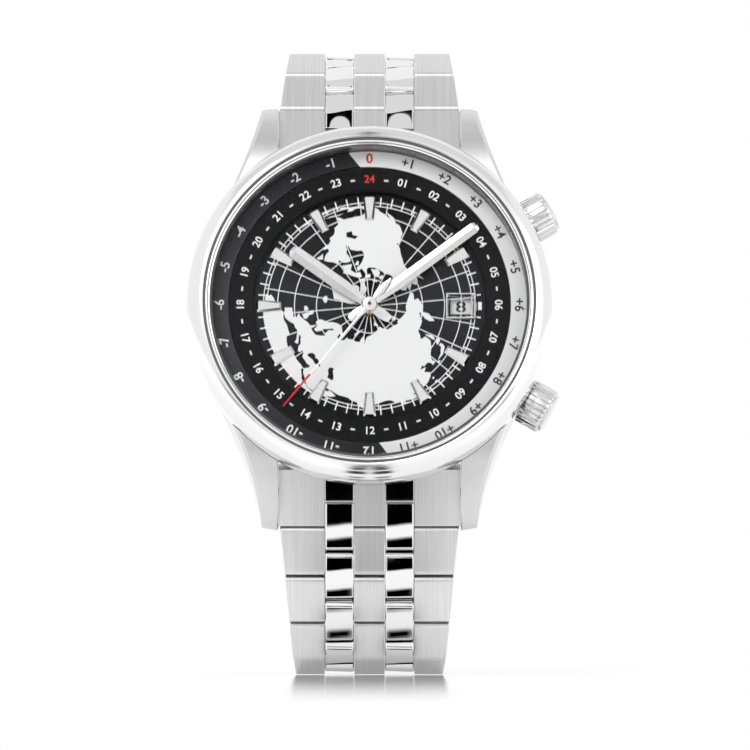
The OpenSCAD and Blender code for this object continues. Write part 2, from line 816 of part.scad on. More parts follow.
module hour_hand() {
    color("gainsboro") hand(hour_at, hour_z, hand_t, baton(hour_l, hour_w, 2.2), hour_pipe_r + 0.01);
}

module minute_hand() {
    color("gainsboro") hand(minute_at, minute_z, hand_t, baton(minute_l, minute_w, 2.4), cannon_pipe_r + 0.01);
}

module seconds_hand() {
    color("red") hand(seconds_at, seconds_z, seconds_t, [
        [0.08, seconds_l], [-0.08, seconds_l], [-0.16, 0], [-0.16, -0.9], [-0.34, -1.4], [-0.2, -3.2], [0.2, -3.2],
        [0.34, -1.4], [0.16, -0.9], [0.16, 0]
    ], axle_r + 0.01);
}

// Bracelet

// A link's side outline, along its row and outwards, flat on top and rounded beneath
function link_outline(l, t) = let (top = 0.35, low = min(l / 4, t / 2) - row_gap / 2) concat(
    arc([l / 2 - top, t / 2 - top], top, 0, 90, 4), arc([top - l / 2, t / 2 - top], top, 90, 180, 4),
    arc([low - l / 2, low - t / 2], low, 180, 270, 8), arc([l / 2 - low, low - t / 2], low, 270, 360, 8)
);

// Lays children, drawn with their row along +x, their columns along y and their outside up, on a row
module on_row(end, bends, n) {
    p = pin_at(bends, n);
    rotate([0, 0, end]) translate([0, p[0], p[1]]) rotate([-row_dir(bends, n), 0, 0]) rotate([0, 0, 90]) children();
}

module link(from, l, y, w, t) {
    translate([from + l / 2, y + w / 2, 0]) rotate([90, 0, 0])
        linear_extrude(height = w) polygon(link_outline(l - row_gap, t));
}

module cross_pin(x, w, r) {
    translate([x, -w / 2, 0]) rotate([-90, 0, 0]) cylinder(r = r, h = w);
}

polished_y = centre_w / 2 + column_gap + polished_w / 2;
outer_in = centre_w / 2 + 2 * column_gap + polished_w;

// What the taper takes off the outer links, from width w at the row's start to end_w at its end
module taper(w, end_w) {
    slope = (end_w - w) / 2 / pitch;
    from = pitch / 4 - 1;
    to = from + pitch + 2;
    for (s = [0, 1]) mirror([0, s, 0]) translate([0, 0, -link_t]) linear_extrude(height = 2 * link_t)
        polygon([[from, w / 2 - slope], [to, end_w / 2 + slope], [to, w / 2 + 1], [from, w / 2 + 1]]);
}

// A row: polished pair over the joint, brushed trio after it, and the two pins
module row(w, end_w) {
    outer_w = w / 2 - outer_in;
    bore = pin_r + pin_play;
    pin_w = end_w - 1;
    color("silver") difference() {
        union() {
            link(pitch / 4, pitch, 0, centre_w, link_t);
            for (s = [-1, 1]) link(pitch / 4, pitch, s * (outer_in + outer_w / 2), outer_w, link_t);
        }
        for (x = [pitch / 2, pitch]) cross_pin(x, pin_w + 0.1, bore);
        taper(w, end_w);
    }
    color("gainsboro") difference() {
        for (s = [-1, 1]) link(-pitch / 4, pitch, s * polished_y, polished_w, link_t);
        for (x = [0, pitch / 2]) cross_pin(x, pin_w + 0.1, bore);
    }
    color("gray") for (x = [pitch / 2, pitch]) cross_pin(x, pin_w, pin_r);
}

module link_12(n) {
    stand() on_row(0, bends_12, n) row(row_w[n], row_w[n + 1]);
}

module link_6(n) {
    stand() on_row(180, bends_6, n) row(row_w[n], row_w[n + 1]);
}

// An end link: brushed columns to the joint line, polished columns to just before the first pin
module end_link() {
    w = lug_gap - 0.3;
    outer_w = w / 2 - outer_in;
    bore = pin_r + pin_play;
    difference() {
        union() {
            end_column(0, centre_w, pitch / 4 - row_gap / 2);
            for (s = [-1, 1]) end_column(s * (outer_in + outer_w / 2), outer_w, pitch / 4 - row_gap / 2);
            for (s = [-1, 1]) end_column(s * polished_y, polished_w + 2 * column_gap + 0.02, -pitch / 4 - row_gap / 2);
        }
        turned(concat(
            [[0, -6], [flank[0][0] + end_play, -6]], [for (p = flank) [p[0] + end_play, p[1]]], [[0, 20]]
        ));
        translate([-15, bar_y, bar_z]) rotate([0, 90, 0]) cylinder(r = bar_r + pin_play, h = 30);
        at_end_pin() cross_pin(0, w - 1, bore);
    }
    at_end_pin() cross_pin(0, w - 1.1, pin_r);
}

module at_end_pin() {
    translate([0, end_pin[0], end_pin[1]]) rotate([-end_slope, 0, 0]) rotate([0, 0, 90]) children();
}

module end_column(y, w, end) {
    at_end_pin() translate([0, y + w / 2, 0]) rotate([90, 0, 0]) linear_extrude(height = w) polygon(concat(
        arc([end - 0.35, link_t / 2 - 0.35], 0.35, 0, 90, 4),
        [[-5.4, link_t / 2], [-5.4, -link_t / 2]],
        arc([end - 1.3, 1.3 - link_t / 2], 1.3, 270, 360, 8)
    ));
}

module end_links() {
    color("silver") stand() for (a = [0, 180]) rotate([0, 0, a]) end_link();
}

module spring_bars() {
    color("gray") stand() for (s = [-1, 1]) translate([0, s * bar_y, bar_z]) rotate([0, 90, 0]) {
        cylinder(r = bar_r, h = lug_gap - 0.3, center = true);
        cylinder(r = tip_r, h = lug_gap + 1.4, center = true);
    }
}

// Clasp: its frame lies on the chord between the last pins of the two chains
clasp_12 = pin_at(bends_12, rows);
clasp_6 = [-pin_at(bends_6, rows)[0], pin_at(bends_6, rows)[1]];
chord = clasp_6 - clasp_12;
chord_l = norm(chord);
chord_dir = atan2(chord[1], chord[0]);
half_arc = asin(chord_l / 2 / clasp_r);
mm = 180 / PI / clasp_r;
knuckle_r = 0.9;
hinge_drop = 1.45;
cover_from = 3.6;
hinge_6_at = 3.2;
plate_in = 0.4;
cover_out = 1.7;
wall_w = 1.5;
long_drop = hinge_drop + knuckle_r + gap;

// Brings children, drawn flat about the arc's centre with x round the arc, to the clasp's place
module at_clasp() {
    translate([0, clasp_12[0] + chord[0] / 2, clasp_12[1] + chord[1] / 2])
        rotate([chord_dir, 0, 0]) translate([0, 0, -sqrt(clasp_r * clasp_r - chord_l * chord_l / 4)])
        children();
}

// A point on the clasp, in mm along the arc from the twelve end and mm outwards from the links' middle
function clasp_point(s, v) = let (a = 90 + half_arc - s * mm) (clasp_r + v) * [cos(a), sin(a)];
arc_l = 2 * half_arc / mm;

// An outline that follows the arc
function band(from, to, low, high) = let (n = 10) concat(
    [for (i = [0:n]) clasp_point(from + (to - from) * i / n, high)],
    [for (i = [n:-1:0]) clasp_point(from + (to - from) * i / n, low)]
);

module slab(y, w) {
    rotate([90, 0, 90]) translate([0, 0, y - w / 2]) linear_extrude(height = w) children();
}

module clasp_pin(s, v, w, r) {
    p = clasp_point(s, v);
    translate([-w / 2, p[0], p[1]]) rotate([0, 90, 0]) cylinder(r = r, h = w);
}

module knuckle(s, v, y, w, r) {
    p = clasp_point(s, v);
    slab(y, w) translate(p) circle(r = r);
}

hinge_1 = arc_l - hinge_6_at;
hinge_2 = cover_from;
finger_end = arc_l - pin_r - 0.2;
body_end = arc_l - pitch / 4 - row_gap;

module clasp_cover() {
    wall_y = cover_w / 2 - wall_w / 2;
    color("silver") stand() at_clasp() difference() {
        union() {
            slab(0, cover_w) polygon(band(hinge_2 - 1.2, body_end, plate_in, cover_out));
            for (s = [-1, 1]) slab(s * wall_y, wall_w) polygon(band(hinge_2 - 1.2, body_end, -1.9, cover_out - 0.2));
            for (s = [-1, 1]) slab(s * polished_y, polished_w) polygon(band(body_end - 1.5, finger_end, -0.4, 1.3));
            for (s = [-1, 1]) slab(s * (blade_w / 2 - 0.5), 1) hull() {
                translate(clasp_point(hinge_2, -hinge_drop)) circle(r = knuckle_r, $fn = 24);
                translate(clasp_point(hinge_2, plate_in + 0.2)) circle(r = knuckle_r, $fn = 24);
            }
        }
        for (s = [-1, 1]) button_hole(s);
        clasp_pin(hinge_2, -hinge_drop, cover_w - 3, pin_r);
    }
}

button_s = 8.5;
button_v = -0.45;
button_r = 1.05;

// The hole goes on past the wall, so that the button's shoulder has room when it is pressed
module button_hole(s) {
    p = clasp_point(button_s, button_v);
    depth = wall_w + button_travel + free;
    mirror([s < 0 ? 1 : 0, 0, 0]) translate([cover_w / 2 - depth, p[0], p[1]]) rotate([0, 90, 0])
        cylinder(r = button_r + pin_play, h = depth + 2);
}

module clasp_button(s) {
    p = clasp_point(button_s, button_v);
    out = 0.75;
    color("gainsboro") stand() at_clasp() mirror([s < 0 ? 1 : 0, 0, 0])
        translate([cover_w / 2 - wall_w - 0.02, p[0], p[1]]) rotate([0, 90, 0]) {
            cylinder(r = button_r, h = wall_w + out);
            translate([0, 0, -0.4]) cylinder(r = button_r - 0.3, h = 1);
        }
}

module clasp_button_left() {
    clasp_button(-1);
}

module clasp_button_right() {
    clasp_button(1);
}

module clasp_blade_long() {
    low = -long_drop - blade_t;
    color("silver") stand() at_clasp() difference() {
        union() {
            slab(0, blade_w) polygon(band(0.9, hinge_1 + 0.3, low, -long_drop));
            for (s = [-1, 1]) slab(s * polished_y, polished_w) hull() {
                translate(clasp_point(0, 0)) circle(r = 1.3, $fn = 32);
                translate(clasp_point(1.2, low + 0.6)) circle(r = 0.6, $fn = 32);
            }
            for (s = [-1, 1]) slab(s * (blade_w / 2 - 1), 2) hull() {
                translate(clasp_point(hinge_1, -hinge_drop)) circle(r = knuckle_r, $fn = 32);
                translate(clasp_point(hinge_1, low + 0.3)) circle(r = 0.3, $fn = 32);
            }
        }
        clasp_pin(0, 0, 30, pin_r + pin_play);
        clasp_pin(hinge_1, -hinge_drop, 30, pin_r + pin_play);
    }
}

module clasp_blade_short() {
    low = -hinge_drop - blade_t / 2;
    inner = blade_w - 4 - 2 * gap;
    near = blade_w - 2 - 2 * gap;
    color("silver") stand() at_clasp() difference() {
        union() {
            slab(0, inner) polygon(band(hinge_2 + 0.6, hinge_1 - 0.5, low, low + blade_t));
            knuckle(hinge_1, -hinge_drop, 0, inner, knuckle_r);
            knuckle(hinge_2, -hinge_drop, 0, near, knuckle_r);
            slab(0, near) polygon(band(hinge_2, hinge_2 + 2, low, low + blade_t));
        }
        clasp_pin(hinge_2, -hinge_drop, 30, pin_r + pin_play);
    }
    color("gray") stand() at_clasp() clasp_pin(hinge_1, -hinge_drop, blade_w - 0.2, pin_r);
}

case_middle();
bezel();
crystal();
crystal_gasket();
case_back();
case_back_window();
case_back_gasket();
movement_ring();
crown_tubes();
dial();
hour_markers();
offset_ring();
city_ring();
city_crown();
setting_crown();
winding_stem();
winding_clutch();
main_plate();
train_bridge();
balance_cock();
jewels();
barrel();
centre_wheel();
third_wheel();
fourth_wheel();
escape_wheel();
pallet_fork();
balance_wheel();
hairspring();
cannon_pinion();
minute_wheel();
hour_wheel();
date_ring();
rotor();
hour_hand();
minute_hand();
seconds_hand();
end_links();
spring_bars();
link_12(0);  // link_12_1
link_12(1);  // link_12_2
link_12(2);  // link_12_3
link_12(3);  // link_12_4
link_12(4);  // link_12_5
link_12(5);  // link_12_6
link_12(6);  // link_12_7
link_12(7);  // link_12_8
link_6(0);  // link_6_1
link_6(1);  // link_6_2
link_6(2);  // link_6_3
link_6(3);  // link_6_4
link_6(4);  // link_6_5
link_6(5);  // link_6_6
link_6(6);  // link_6_7
link_6(7);  // link_6_8
clasp_cover();
clasp_blade_long();
clasp_blade_short();
clasp_button_left();
clasp_button_right();
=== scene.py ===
"""Looks of a steel automatic watch: camera, lights, finishes and the pieces that dress the frame."""
import math

import bmesh
import bpy
from mathutils import Matrix, Vector
from mathutils.geometry import delaunay_2d_cdt


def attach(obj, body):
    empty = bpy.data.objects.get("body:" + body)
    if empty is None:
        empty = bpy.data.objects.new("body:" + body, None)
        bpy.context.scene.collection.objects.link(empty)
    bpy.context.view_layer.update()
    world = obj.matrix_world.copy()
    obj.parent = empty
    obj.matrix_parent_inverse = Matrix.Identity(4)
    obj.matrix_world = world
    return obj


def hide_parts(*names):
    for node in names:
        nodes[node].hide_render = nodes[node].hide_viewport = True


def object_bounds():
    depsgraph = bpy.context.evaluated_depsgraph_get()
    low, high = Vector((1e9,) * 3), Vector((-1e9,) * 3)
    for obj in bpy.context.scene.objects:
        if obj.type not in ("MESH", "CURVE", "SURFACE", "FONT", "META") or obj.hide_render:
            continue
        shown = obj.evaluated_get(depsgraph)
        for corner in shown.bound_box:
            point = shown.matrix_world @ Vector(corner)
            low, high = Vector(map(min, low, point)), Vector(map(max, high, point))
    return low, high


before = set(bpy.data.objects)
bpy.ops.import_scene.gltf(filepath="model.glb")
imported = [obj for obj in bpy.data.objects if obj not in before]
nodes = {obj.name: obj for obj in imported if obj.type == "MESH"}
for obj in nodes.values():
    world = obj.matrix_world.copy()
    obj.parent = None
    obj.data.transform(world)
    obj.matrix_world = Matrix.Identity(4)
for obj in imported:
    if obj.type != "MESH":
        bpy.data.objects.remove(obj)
cad_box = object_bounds()

# Sizes are in millimetres in the watch's own frame: x to three o'clock, y to twelve, z out of the dial.
MM = 0.001
LEAN = math.radians(12.5)
STAND = Matrix.Rotation(math.pi / 2 - LEAN, 4, "X")

# Case and bezel
CASE_R = 21.0
MIDDLE_R = 20.6
MIDDLE_TOP = 8.6
BORE_R = 18.4
SHOULDER_R = 19.9
BEZEL_TOP = 11.1
BEZEL_LOW = 6.95
BEZEL_WALL = 1.4
OPENING_R = 18.1
GASKET_W = 0.25
LUG_X = 10.5
LUG_Y = 24.9
LUG_ROOT = 15.2
# The case's side from its back up to the bezel
FLANK = [(18.9, 1.15), (19.4, 3.1), (20.0, 4.2), (MIDDLE_R, 5.4), (MIDDLE_R, BEZEL_LOW - 0.02),
         (SHOULDER_R - 0.03, BEZEL_LOW - 0.02), (SHOULDER_R - 0.03, MIDDLE_TOP - 0.02)]

# Dial, rings and hands
DIAL_TOP = 7.5
DIAL_R = 15.0
RING_TOP = 8.15
RING_WORDS_R = 14.8
OFFSET_TOP = 8.3
OFFSET_IN_R = 16.26
OFFSET_WORDS_R = 17.17
HOUR_Z = 8.0
MINUTE_Z = 8.42
SECONDS_Z = 8.79
DATE_X = 10.5
DATE_WORDS_Z = 6.81

# Crowns
CROWN_R = 2.65
CROWN_L = 2.9
CROWN_Z = 4.2
CROWN_FROM = 20.75
CROWN_FLUTES = 26
STEM_FROM = 15.05

# Bracelet
PITCH = 5.8
LINK_T = 3.0
ROW_GAP = 0.1
LINK_L = PITCH - ROW_GAP
LINK_ROUND = 0.5
CENTRE_W = 3.5
POLISHED_W = 3.3
COLUMN_GAP = 0.06
OUTER_IN = CENTRE_W / 2 + 2 * COLUMN_GAP + POLISHED_W
POLISHED_Y = CENTRE_W / 2 + COLUMN_GAP + POLISHED_W / 2
END_PIN = (22.7, 0.6)
END_SLOPE = 26.0
END_W = 20.9
BENDS = {12: (5.5, 19, 28, 23, 19, 16, 12.5, 10.5), 6: (0.5, 10, 20, 26, 27, 21, 17, 14)}
ROWS = 8
FIRST_W = 20.6
LAST_W = 16.0
ROW_W = [LAST_W + (FIRST_W - LAST_W) * (1 - n / ROWS) ** 2.25 for n in range(ROWS + 1)]


# Helpers for places and lines

def spin(angle, axis="Z"):
    return Matrix.Rotation(math.radians(angle), 4, axis)


def shift(x, y, z):
    return Matrix.Translation((x, y, z))


def polar(r, angle):
    a = math.radians(angle)
    return r * math.cos(a), r * math.sin(a)


def arc(cx, cy, r, start, end, steps):
    out = []
    for i in range(steps + 1):
        dx, dy = polar(r, start + (end - start) * i / steps)
        out.append((cx + dx, cy + dy))
    return out


def bezier(a, b, c, steps):
    out = []
    for i in range(steps + 1):
        t = i / steps
        out.append(tuple((1 - t) ** 2 * p + 2 * t * (1 - t) * q + t * t * r for p, q, r in zip(a, b, c)))
    return out


# Helpers for meshes

def set_sharp(bm, sharp):
    """Smooths all faces but keeps an edge sharp where it bends more than this angle; 0 leaves them flat."""
    for face in bm.faces:
        face.smooth = sharp > 0
    for edge in bm.edges:
        edge.smooth = len(edge.link_faces) == 2 and edge.calc_face_angle(0) < math.radians(sharp)


def finish_mesh(bm, name, sharp=35.0):
    """Makes an object from a bmesh in the watch's frame, in millimetres, placed where the watch stands."""
    bmesh.ops.recalc_face_normals(bm, faces=bm.faces)
    bm.transform(Matrix.Scale(MM, 4))
    bm.transform(STAND)
    mesh = bpy.data.meshes.new(name)
    set_sharp(bm, sharp)
    bm.to_mesh(mesh)
    bm.free()
    piece = bpy.data.objects.new(name, mesh)
    bpy.context.scene.collection.objects.link(piece)
    return piece


def make_piece(name, *shapes, sharp=35.0):
    """An object from one or more shapes, each given as its function and what that function takes."""
    bm = bmesh.new()
    for maker, *sizes in shapes:
        maker(bm, *sizes)
    return finish_mesh(bm, name, sharp)


def skin(bm, rings, ends=True):
    """Joins rings of as many points each by bands of faces, and closes the first and the last."""
    for a, b in zip(rings, rings[1:]):
        for i in range(len(a)):
            j = (i + 1) % len(a)
            bm.faces.new((a[i], a[j], b[j], b[i]))
    if ends:
        bm.faces.new(rings[0])
        bm.faces.new(rings[-1])
    return [v for ring in rings for v in ring]


def add_turned(bm, outline, steps=192, place=None):
    """A closed ring or disc of revolution about z from a list of (radius, height)."""
    rings = []
    for r, z in outline:
        if r < 1e-6:
            rings.append([bm.verts.new((0, 0, z))])
        else:
            rings.append([bm.verts.new((*polar(r, 360 * i / steps), z)) for i in range(steps)])
    for a, b in zip(rings, rings[1:] + rings[:1]):
        if len(a) == 1 and len(b) == 1:
            continue
        for i in range(steps):
            j = (i + 1) % steps
            if len(a) == 1:
                bm.faces.new((a[0], b[i], b[j]))
            elif len(b) == 1:
                bm.faces.new((a[i], b[0], a[j]))
            else:
                bm.faces.new((a[i], b[i], b[j], a[j]))
    if place is not None:
        bmesh.ops.transform(bm, matrix=place, verts=[v for ring in rings for v in ring])


def add_prism(bm, outline, low, high, place=None):
    """A closed prism from an outline of (x, y) points between two heights."""
    bottom, top = ([bm.verts.new((x, y, z)) for x, y in outline] for z in (low, high))
    bm.faces.new(bottom[::-1])
    bm.faces.new(top)
    skin(bm, (bottom, top), ends=False)
    if place is not None:
        bmesh.ops.transform(bm, matrix=place, verts=bottom + top)


def rectangle(x0, x1, half):
    return [(x0, -half), (x1, -half), (x1, half), (x0, half)]


def round_edges(bm, width, segments, angle):
    limit = math.radians(angle)
    edges = [e for e in bm.edges if len(e.link_faces) == 2 and e.calc_face_angle(0) > limit]
    bmesh.ops.bevel(bm, geom=edges, offset=width, segments=segments, affect="EDGES", profile=0.5,
                    clamp_overlap=True)


def cut(piece, cutter, sharp=35.0):
    """Takes the cutter out of the piece and leaves a plain mesh."""
    modifier = piece.modifiers.new("cut", "BOOLEAN")
    modifier.operation = "DIFFERENCE"
    modifier.solver = "EXACT"
    modifier.object = cutter
    depsgraph = bpy.context.evaluated_depsgraph_get()
    mesh = bpy.data.meshes.new_from_object(piece.evaluated_get(depsgraph))
    piece.modifiers.clear()
    old, spent = piece.data, cutter.data
    piece.data = mesh
    bpy.data.objects.remove(cutter)
    bpy.data.meshes.remove(old)
    bpy.data.meshes.remove(spent)
    bm = bmesh.new()
    bm.from_mesh(mesh)
    set_sharp(bm, sharp)
    bm.to_mesh(mesh)
    bm.free()
    return piece


def dress(piece, material, body, *replaced, slot=None):
    """Gives a piece its material, its body and the frame nodes that it stands for; the finish's slot is not
    used.
    """
    piece.data.materials.clear()
    piece.data.materials.append(material)
    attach(piece, body)
    if replaced:
        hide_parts(*replaced)
    return piece


# Helpers for node trees

def feed(tree, node, sockets):
    """Gives each named input a plain value or another node's output."""
    for key, value in sockets.items():
        if isinstance(value, bpy.types.NodeSocket):
            tree.links.new(value, node.inputs[key])
        else:
            node.inputs[key].default_value = value


def add(tree, kind, sockets=None, **settings):
    node = tree.nodes.new(kind)
    for key, value in settings.items():
        setattr(node, key, value)
    feed(tree, node, sockets or {})
    return node


def calc(tree, operation, *values):
    return add(tree, "ShaderNodeMath", dict(enumerate(values)), operation=operation).outputs[0]


def new_group(name, inputs, outputs):
    """A shader node group with its inputs' usual values, and what comes in through them."""
    group = bpy.data.node_groups.new(name, "ShaderNodeTree")
    for label, value in inputs.items():
        kind = "NodeSocketVector" if isinstance(value, tuple) else "NodeSocketFloat"
        group.interface.new_socket(label, in_out="INPUT", socket_type=kind).default_value = value
    for label in outputs:
        group.interface.new_socket(label, in_out="OUTPUT", socket_type="NodeSocketFloat")
    return group, group.nodes.new("NodeGroupInput").outputs


def brushed_group():
    """Fine straight scratches across one direction: a height, a roughness and a tone."""
    group, given = new_group("brushed_grain", {"Stretch": (5000, 90, 90), "Roughness": 0.3, "Spread": 0.1,
                                               "Tone": 0.06}, ("Height", "Roughness", "Shade"))
    where = add(group, "ShaderNodeTexCoord").outputs["Object"]
    drawn = add(group, "ShaderNodeVectorMath", {0: where, 1: given["Stretch"]}, operation="MULTIPLY")
    grain = add(group, "ShaderNodeTexNoise", {"Vector": drawn.outputs[0], "Scale": 1.0, "Detail": 5.0,
                                              "Roughness": 0.65})
    height = grain.outputs["Fac"]
    rough = calc(group, "MULTIPLY_ADD", height, given["Spread"], given["Roughness"])
    rough = calc(group, "ADD", rough, calc(group, "MULTIPLY", given["Spread"], -0.5))
    shade = add(group, "ShaderNodeMapRange", {"Value": height, "From Min": 0.3, "From Max": 0.7,
                                              "To Min": calc(group, "SUBTRACT", 1.0, given["Tone"])})
    add(group, "NodeGroupOutput", {"Height": height, "Roughness": rough, "Shade": shade.outputs[0]})
    return group


def smudge_group():
    """Faint handling marks: a soft change of roughness over polished metal."""
    group, given = new_group("handling", {"Scale": 220.0, "Low": 0.03, "High": 0.07}, ("Roughness", "Height"))
    where = add(group, "ShaderNodeTexCoord").outputs["Object"]
    noise = add(group, "ShaderNodeTexNoise", {"Vector": where, "Scale": given["Scale"], "Detail": 4.0})
    marks = noise.outputs["Fac"]
    rough = add(group, "ShaderNodeMapRange", {"Value": marks, "From Min": 0.35, "From Max": 0.7,
                                              "To Min": given["Low"], "To Max": given["High"]})
    add(group, "NodeGroupOutput", {"Roughness": rough.outputs[0], "Height": marks})
    return group


def face_coordinates(tree):
    """Object coordinates turned into the dial's own plane."""
    where = add(tree, "ShaderNodeTexCoord").outputs["Object"]
    turn = {"Vector": where, "Rotation": (math.pi / 2 - LEAN, 0, 0)}
    return add(tree, "ShaderNodeMapping", turn, vector_type="TEXTURE").outputs["Vector"]


def sunray_group():
    """Rays of roughness that spread from the dial's centre, and a painted sheen that is lighter on two
    opposite sides of the dial.
    """
    group, given = new_group("sunray", {"Rays": 60.0, "Low": 0.6, "High": 1.2}, ("Shade", "Fine"))
    parts = add(group, "ShaderNodeSeparateXYZ", {0: face_coordinates(group)}).outputs
    angle = calc(group, "ARCTAN2", parts["Y"], parts["X"])
    fine = add(group, "ShaderNodeTexNoise", {"W": calc(group, "MULTIPLY", angle, given["Rays"]), "Scale": 1.0,
                                             "Detail": 3.0}, noise_dimensions="1D")
    # Painted sheen: lighter on two opposite sides of the dial, darker between them
    painted_sheen_wave = calc(group, "COSINE", calc(group, "MULTIPLY", angle, 2.0))
    shade = add(group, "ShaderNodeMapRange", {"Value": painted_sheen_wave, "From Min": -1.0, "To Min": given["Low"],
                                              "To Max": given["High"]})
    add(group, "NodeGroupOutput", {"Shade": shade.outputs[0], "Fine": fine.outputs["Fac"]})
    return group


BRUSHED = brushed_group()
HANDLING = smudge_group()
SUNRAY = sunray_group()


# Finishes

def new_material(name, color, metallic=1.0, roughness=0.2, **sockets):
    material = bpy.data.materials.new(name)
    material.use_nodes = True
    tree = material.node_tree
    shader = tree.nodes["Principled BSDF"]
    feed(tree, shader, {"Base Color": (*color, 1), "Metallic": metallic, "Roughness": roughness})
    feed(tree, shader, {label.replace("_", " "): value for label, value in sockets.items()})
    return material, tree, shader


def shaded(tree, color, shade):
    """A colour darkened by a tone that changes over the surface."""
    mix = {"Factor": 1.0, "A": (*color, 1), "B": shade}
    return add(tree, "ShaderNodeMix", mix, data_type="RGBA", blend_type="MULTIPLY").outputs["Result"]


def relief(tree, height, strength, depth):
    bump = {"Strength": strength, "Distance": depth * MM, "Height": height}
    return add(tree, "ShaderNodeBump", bump).outputs["Normal"]


def brushed_material(name, color, stretch, roughness=0.3, spread=0.12, tone=0.08):
    material, tree, shader = new_material(name, color)
    given = {"Stretch": stretch, "Roughness": roughness, "Spread": spread, "Tone": tone}
    grain = add(tree, "ShaderNodeGroup", given, node_tree=BRUSHED).outputs
    feed(tree, shader, {"Base Color": shaded(tree, color, grain["Shade"]), "Roughness": grain["Roughness"],
                        "Normal": relief(tree, grain["Height"], 0.25, 0.02)})
    return material


def polished_material(name, color, low=0.03, high=0.08):
    material, tree, shader = new_material(name, color)
    marks = add(tree, "ShaderNodeGroup", {"Low": low, "High": high}, node_tree=HANDLING)
    feed(tree, shader, {"Roughness": marks.outputs["Roughness"]})
    return material


def sunray_material(name, dark, light, roughness):
    """Black lacquer with a painted sheen that turns round the dial, over a gloss that changes from ray to
    ray.
    """
    material, tree, shader = new_material(name, dark, 0.0, roughness, Specular_IOR_Level=0.1)
    rays = add(tree, "ShaderNodeGroup", {"Low": 0.0, "High": 1.0}, node_tree=SUNRAY).outputs
    painted_sheen_tones = {"Factor": rays["Shade"], "A": (*dark, 1), "B": (*light, 1)}
    mix = add(tree, "ShaderNodeMix", painted_sheen_tones, data_type="RGBA")
    rough = add(tree, "ShaderNodeMapRange", {"Value": rays["Fine"], "To Min": roughness - 0.08,
                                             "To Max": roughness + 0.08})
    feed(tree, shader, {"Base Color": mix.outputs["Result"], "Roughness": rough.outputs[0]})
    return material


def printed_material(name, color, roughness=0.45):
    """Dial print or enamel: an even colour whose gloss wanders a little."""
    material, tree, shader = new_material(name, color, 0.0, roughness)
    marks = add(tree, "ShaderNodeGroup", {"Scale": 900.0, "Low": roughness - 0.08, "High": roughness + 0.08},
                node_tree=HANDLING).outputs
    feed(tree, shader, {"Roughness": marks["Roughness"], "Normal": relief(tree, marks["Height"], 0.1, 0.01)})
    return material


def striped_material(name, color, width=0.9):
    """Broad straight stripes brushed across a movement part."""
    material, tree, shader = new_material(name, color, 1.0, 0.25)
    parts = add(tree, "ShaderNodeSeparateXYZ", {0: face_coordinates(tree)}).outputs
    stripe = calc(tree, "PINGPONG", parts["X"], width * MM)
    tone = add(tree, "ShaderNodeMapRange", {"Value": stripe, "From Max": width * MM, "To Min": 0.78})
    grain = add(tree, "ShaderNodeGroup", {"Stretch": (4000, 200, 200)}, node_tree=BRUSHED).outputs
    feed(tree, shader, {"Base Color": shaded(tree, color, tone.outputs[0]), "Roughness": grain["Roughness"]})
    return material


def glass_material(name, tint=(1, 1, 1)):
    """Clear sapphire that lets the lamps reach the dial."""
    material, tree, shader = new_material(name, tint, 0.0, 0.0, Transmission_Weight=1.0, IOR=1.12)
    path = add(tree, "ShaderNodeLightPath").outputs
    feed(tree, shader, {"Alpha": calc(tree, "MULTIPLY_ADD", path["Is Shadow Ray"], -0.2, 0.2)})
    return material


def grey(tone, blue=0.0):
    return tone, tone, tone + blue


link_brushed = brushed_material("brushed_links", grey(0.78), (8000, 90, 90), 0.32, 0.14, 0.16)
case_satin = brushed_material("satin_case", grey(0.7), (900, 900, 5200), 0.3, 0.08, 0.05)
bright_steel = polished_material("polished_steel", grey(0.78), 0.08, 0.16)
bezel_steel = polished_material("bezel_steel", grey(0.84), 0.13, 0.19)
mirror_steel = polished_material("polished_links", grey(0.86), 0.02, 0.05)
crown_steel = polished_material("crown_steel", grey(0.72), 0.2, 0.3)
# Painted shade: a dark material laid in the crown's flutes and the bezel's groove
groove_painted_shade = polished_material("painted_groove_shade", grey(0.12), 0.35, 0.45)
train_steel = polished_material("train_steel", grey(0.7, 0.02), 0.15, 0.25)
hand_steel = polished_material("hand_steel", grey(0.74), 0.14, 0.22)
marker_steel = polished_material("marker_steel", grey(0.74), 0.08, 0.14)
blued_steel = polished_material("blued_steel", (0.03, 0.05, 0.22), 0.15, 0.25)
gilt = brushed_material("gilt_brass", (0.83, 0.62, 0.26), (2500, 2500, 2500), 0.25, 0.1)
plate_rhodium = brushed_material("rhodium_plate", (0.7, 0.69, 0.67), (2200, 2200, 2200), 0.3, 0.1)
bridge_stripes = striped_material("striped_bridge", (0.74, 0.73, 0.71))
rotor_stripes = striped_material("striped_rotor", grey(0.66, 0.01))
# The dial's sea and both dark rings carry the painted sheen between their dark and light tones
sea_black = sunray_material("dial_sea", grey(0.002), grey(0.022, 0.002), 0.3)
ring_black = sunray_material("city_ring_black", grey(0.003), grey(0.008, 0.001), 0.4)
ring_grey = sunray_material("offset_dark", grey(0.02, 0.002), grey(0.058, 0.003), 0.36)
ring_white = printed_material("offset_light", grey(0.8), 0.4)
land_silver = printed_material("map_land", grey(0.78, 0.005), 0.5)
print_white = printed_material("white_print", grey(0.86))
print_grey = printed_material("grid_print", grey(0.76, 0.01))
print_black = printed_material("black_print", grey(0.012, 0.001))
print_red = printed_material("red_print", (0.62, 0.012, 0.02))
hand_red = printed_material("red_lacquer", (0.6, 0.01, 0.015), 0.3)
sapphire = glass_material("sapphire")
ruby = new_material("ruby", (0.55, 0.01, 0.05), 0.0, 0.08, Coat_Weight=0.6)[0]
rubber = new_material("rubber", grey(0.02), 0.0, 0.6)[0]
nylon = new_material("nylon", grey(0.06), 0.0, 0.4)[0]


# Bracelet

def pin_at(side, n):
    y, z = END_PIN
    for i in range(n):
        a = math.radians(END_SLOPE + sum(BENDS[side][: i + 1]))
        y, z = y + PITCH * math.cos(a), z - PITCH * math.sin(a)
    return y, z


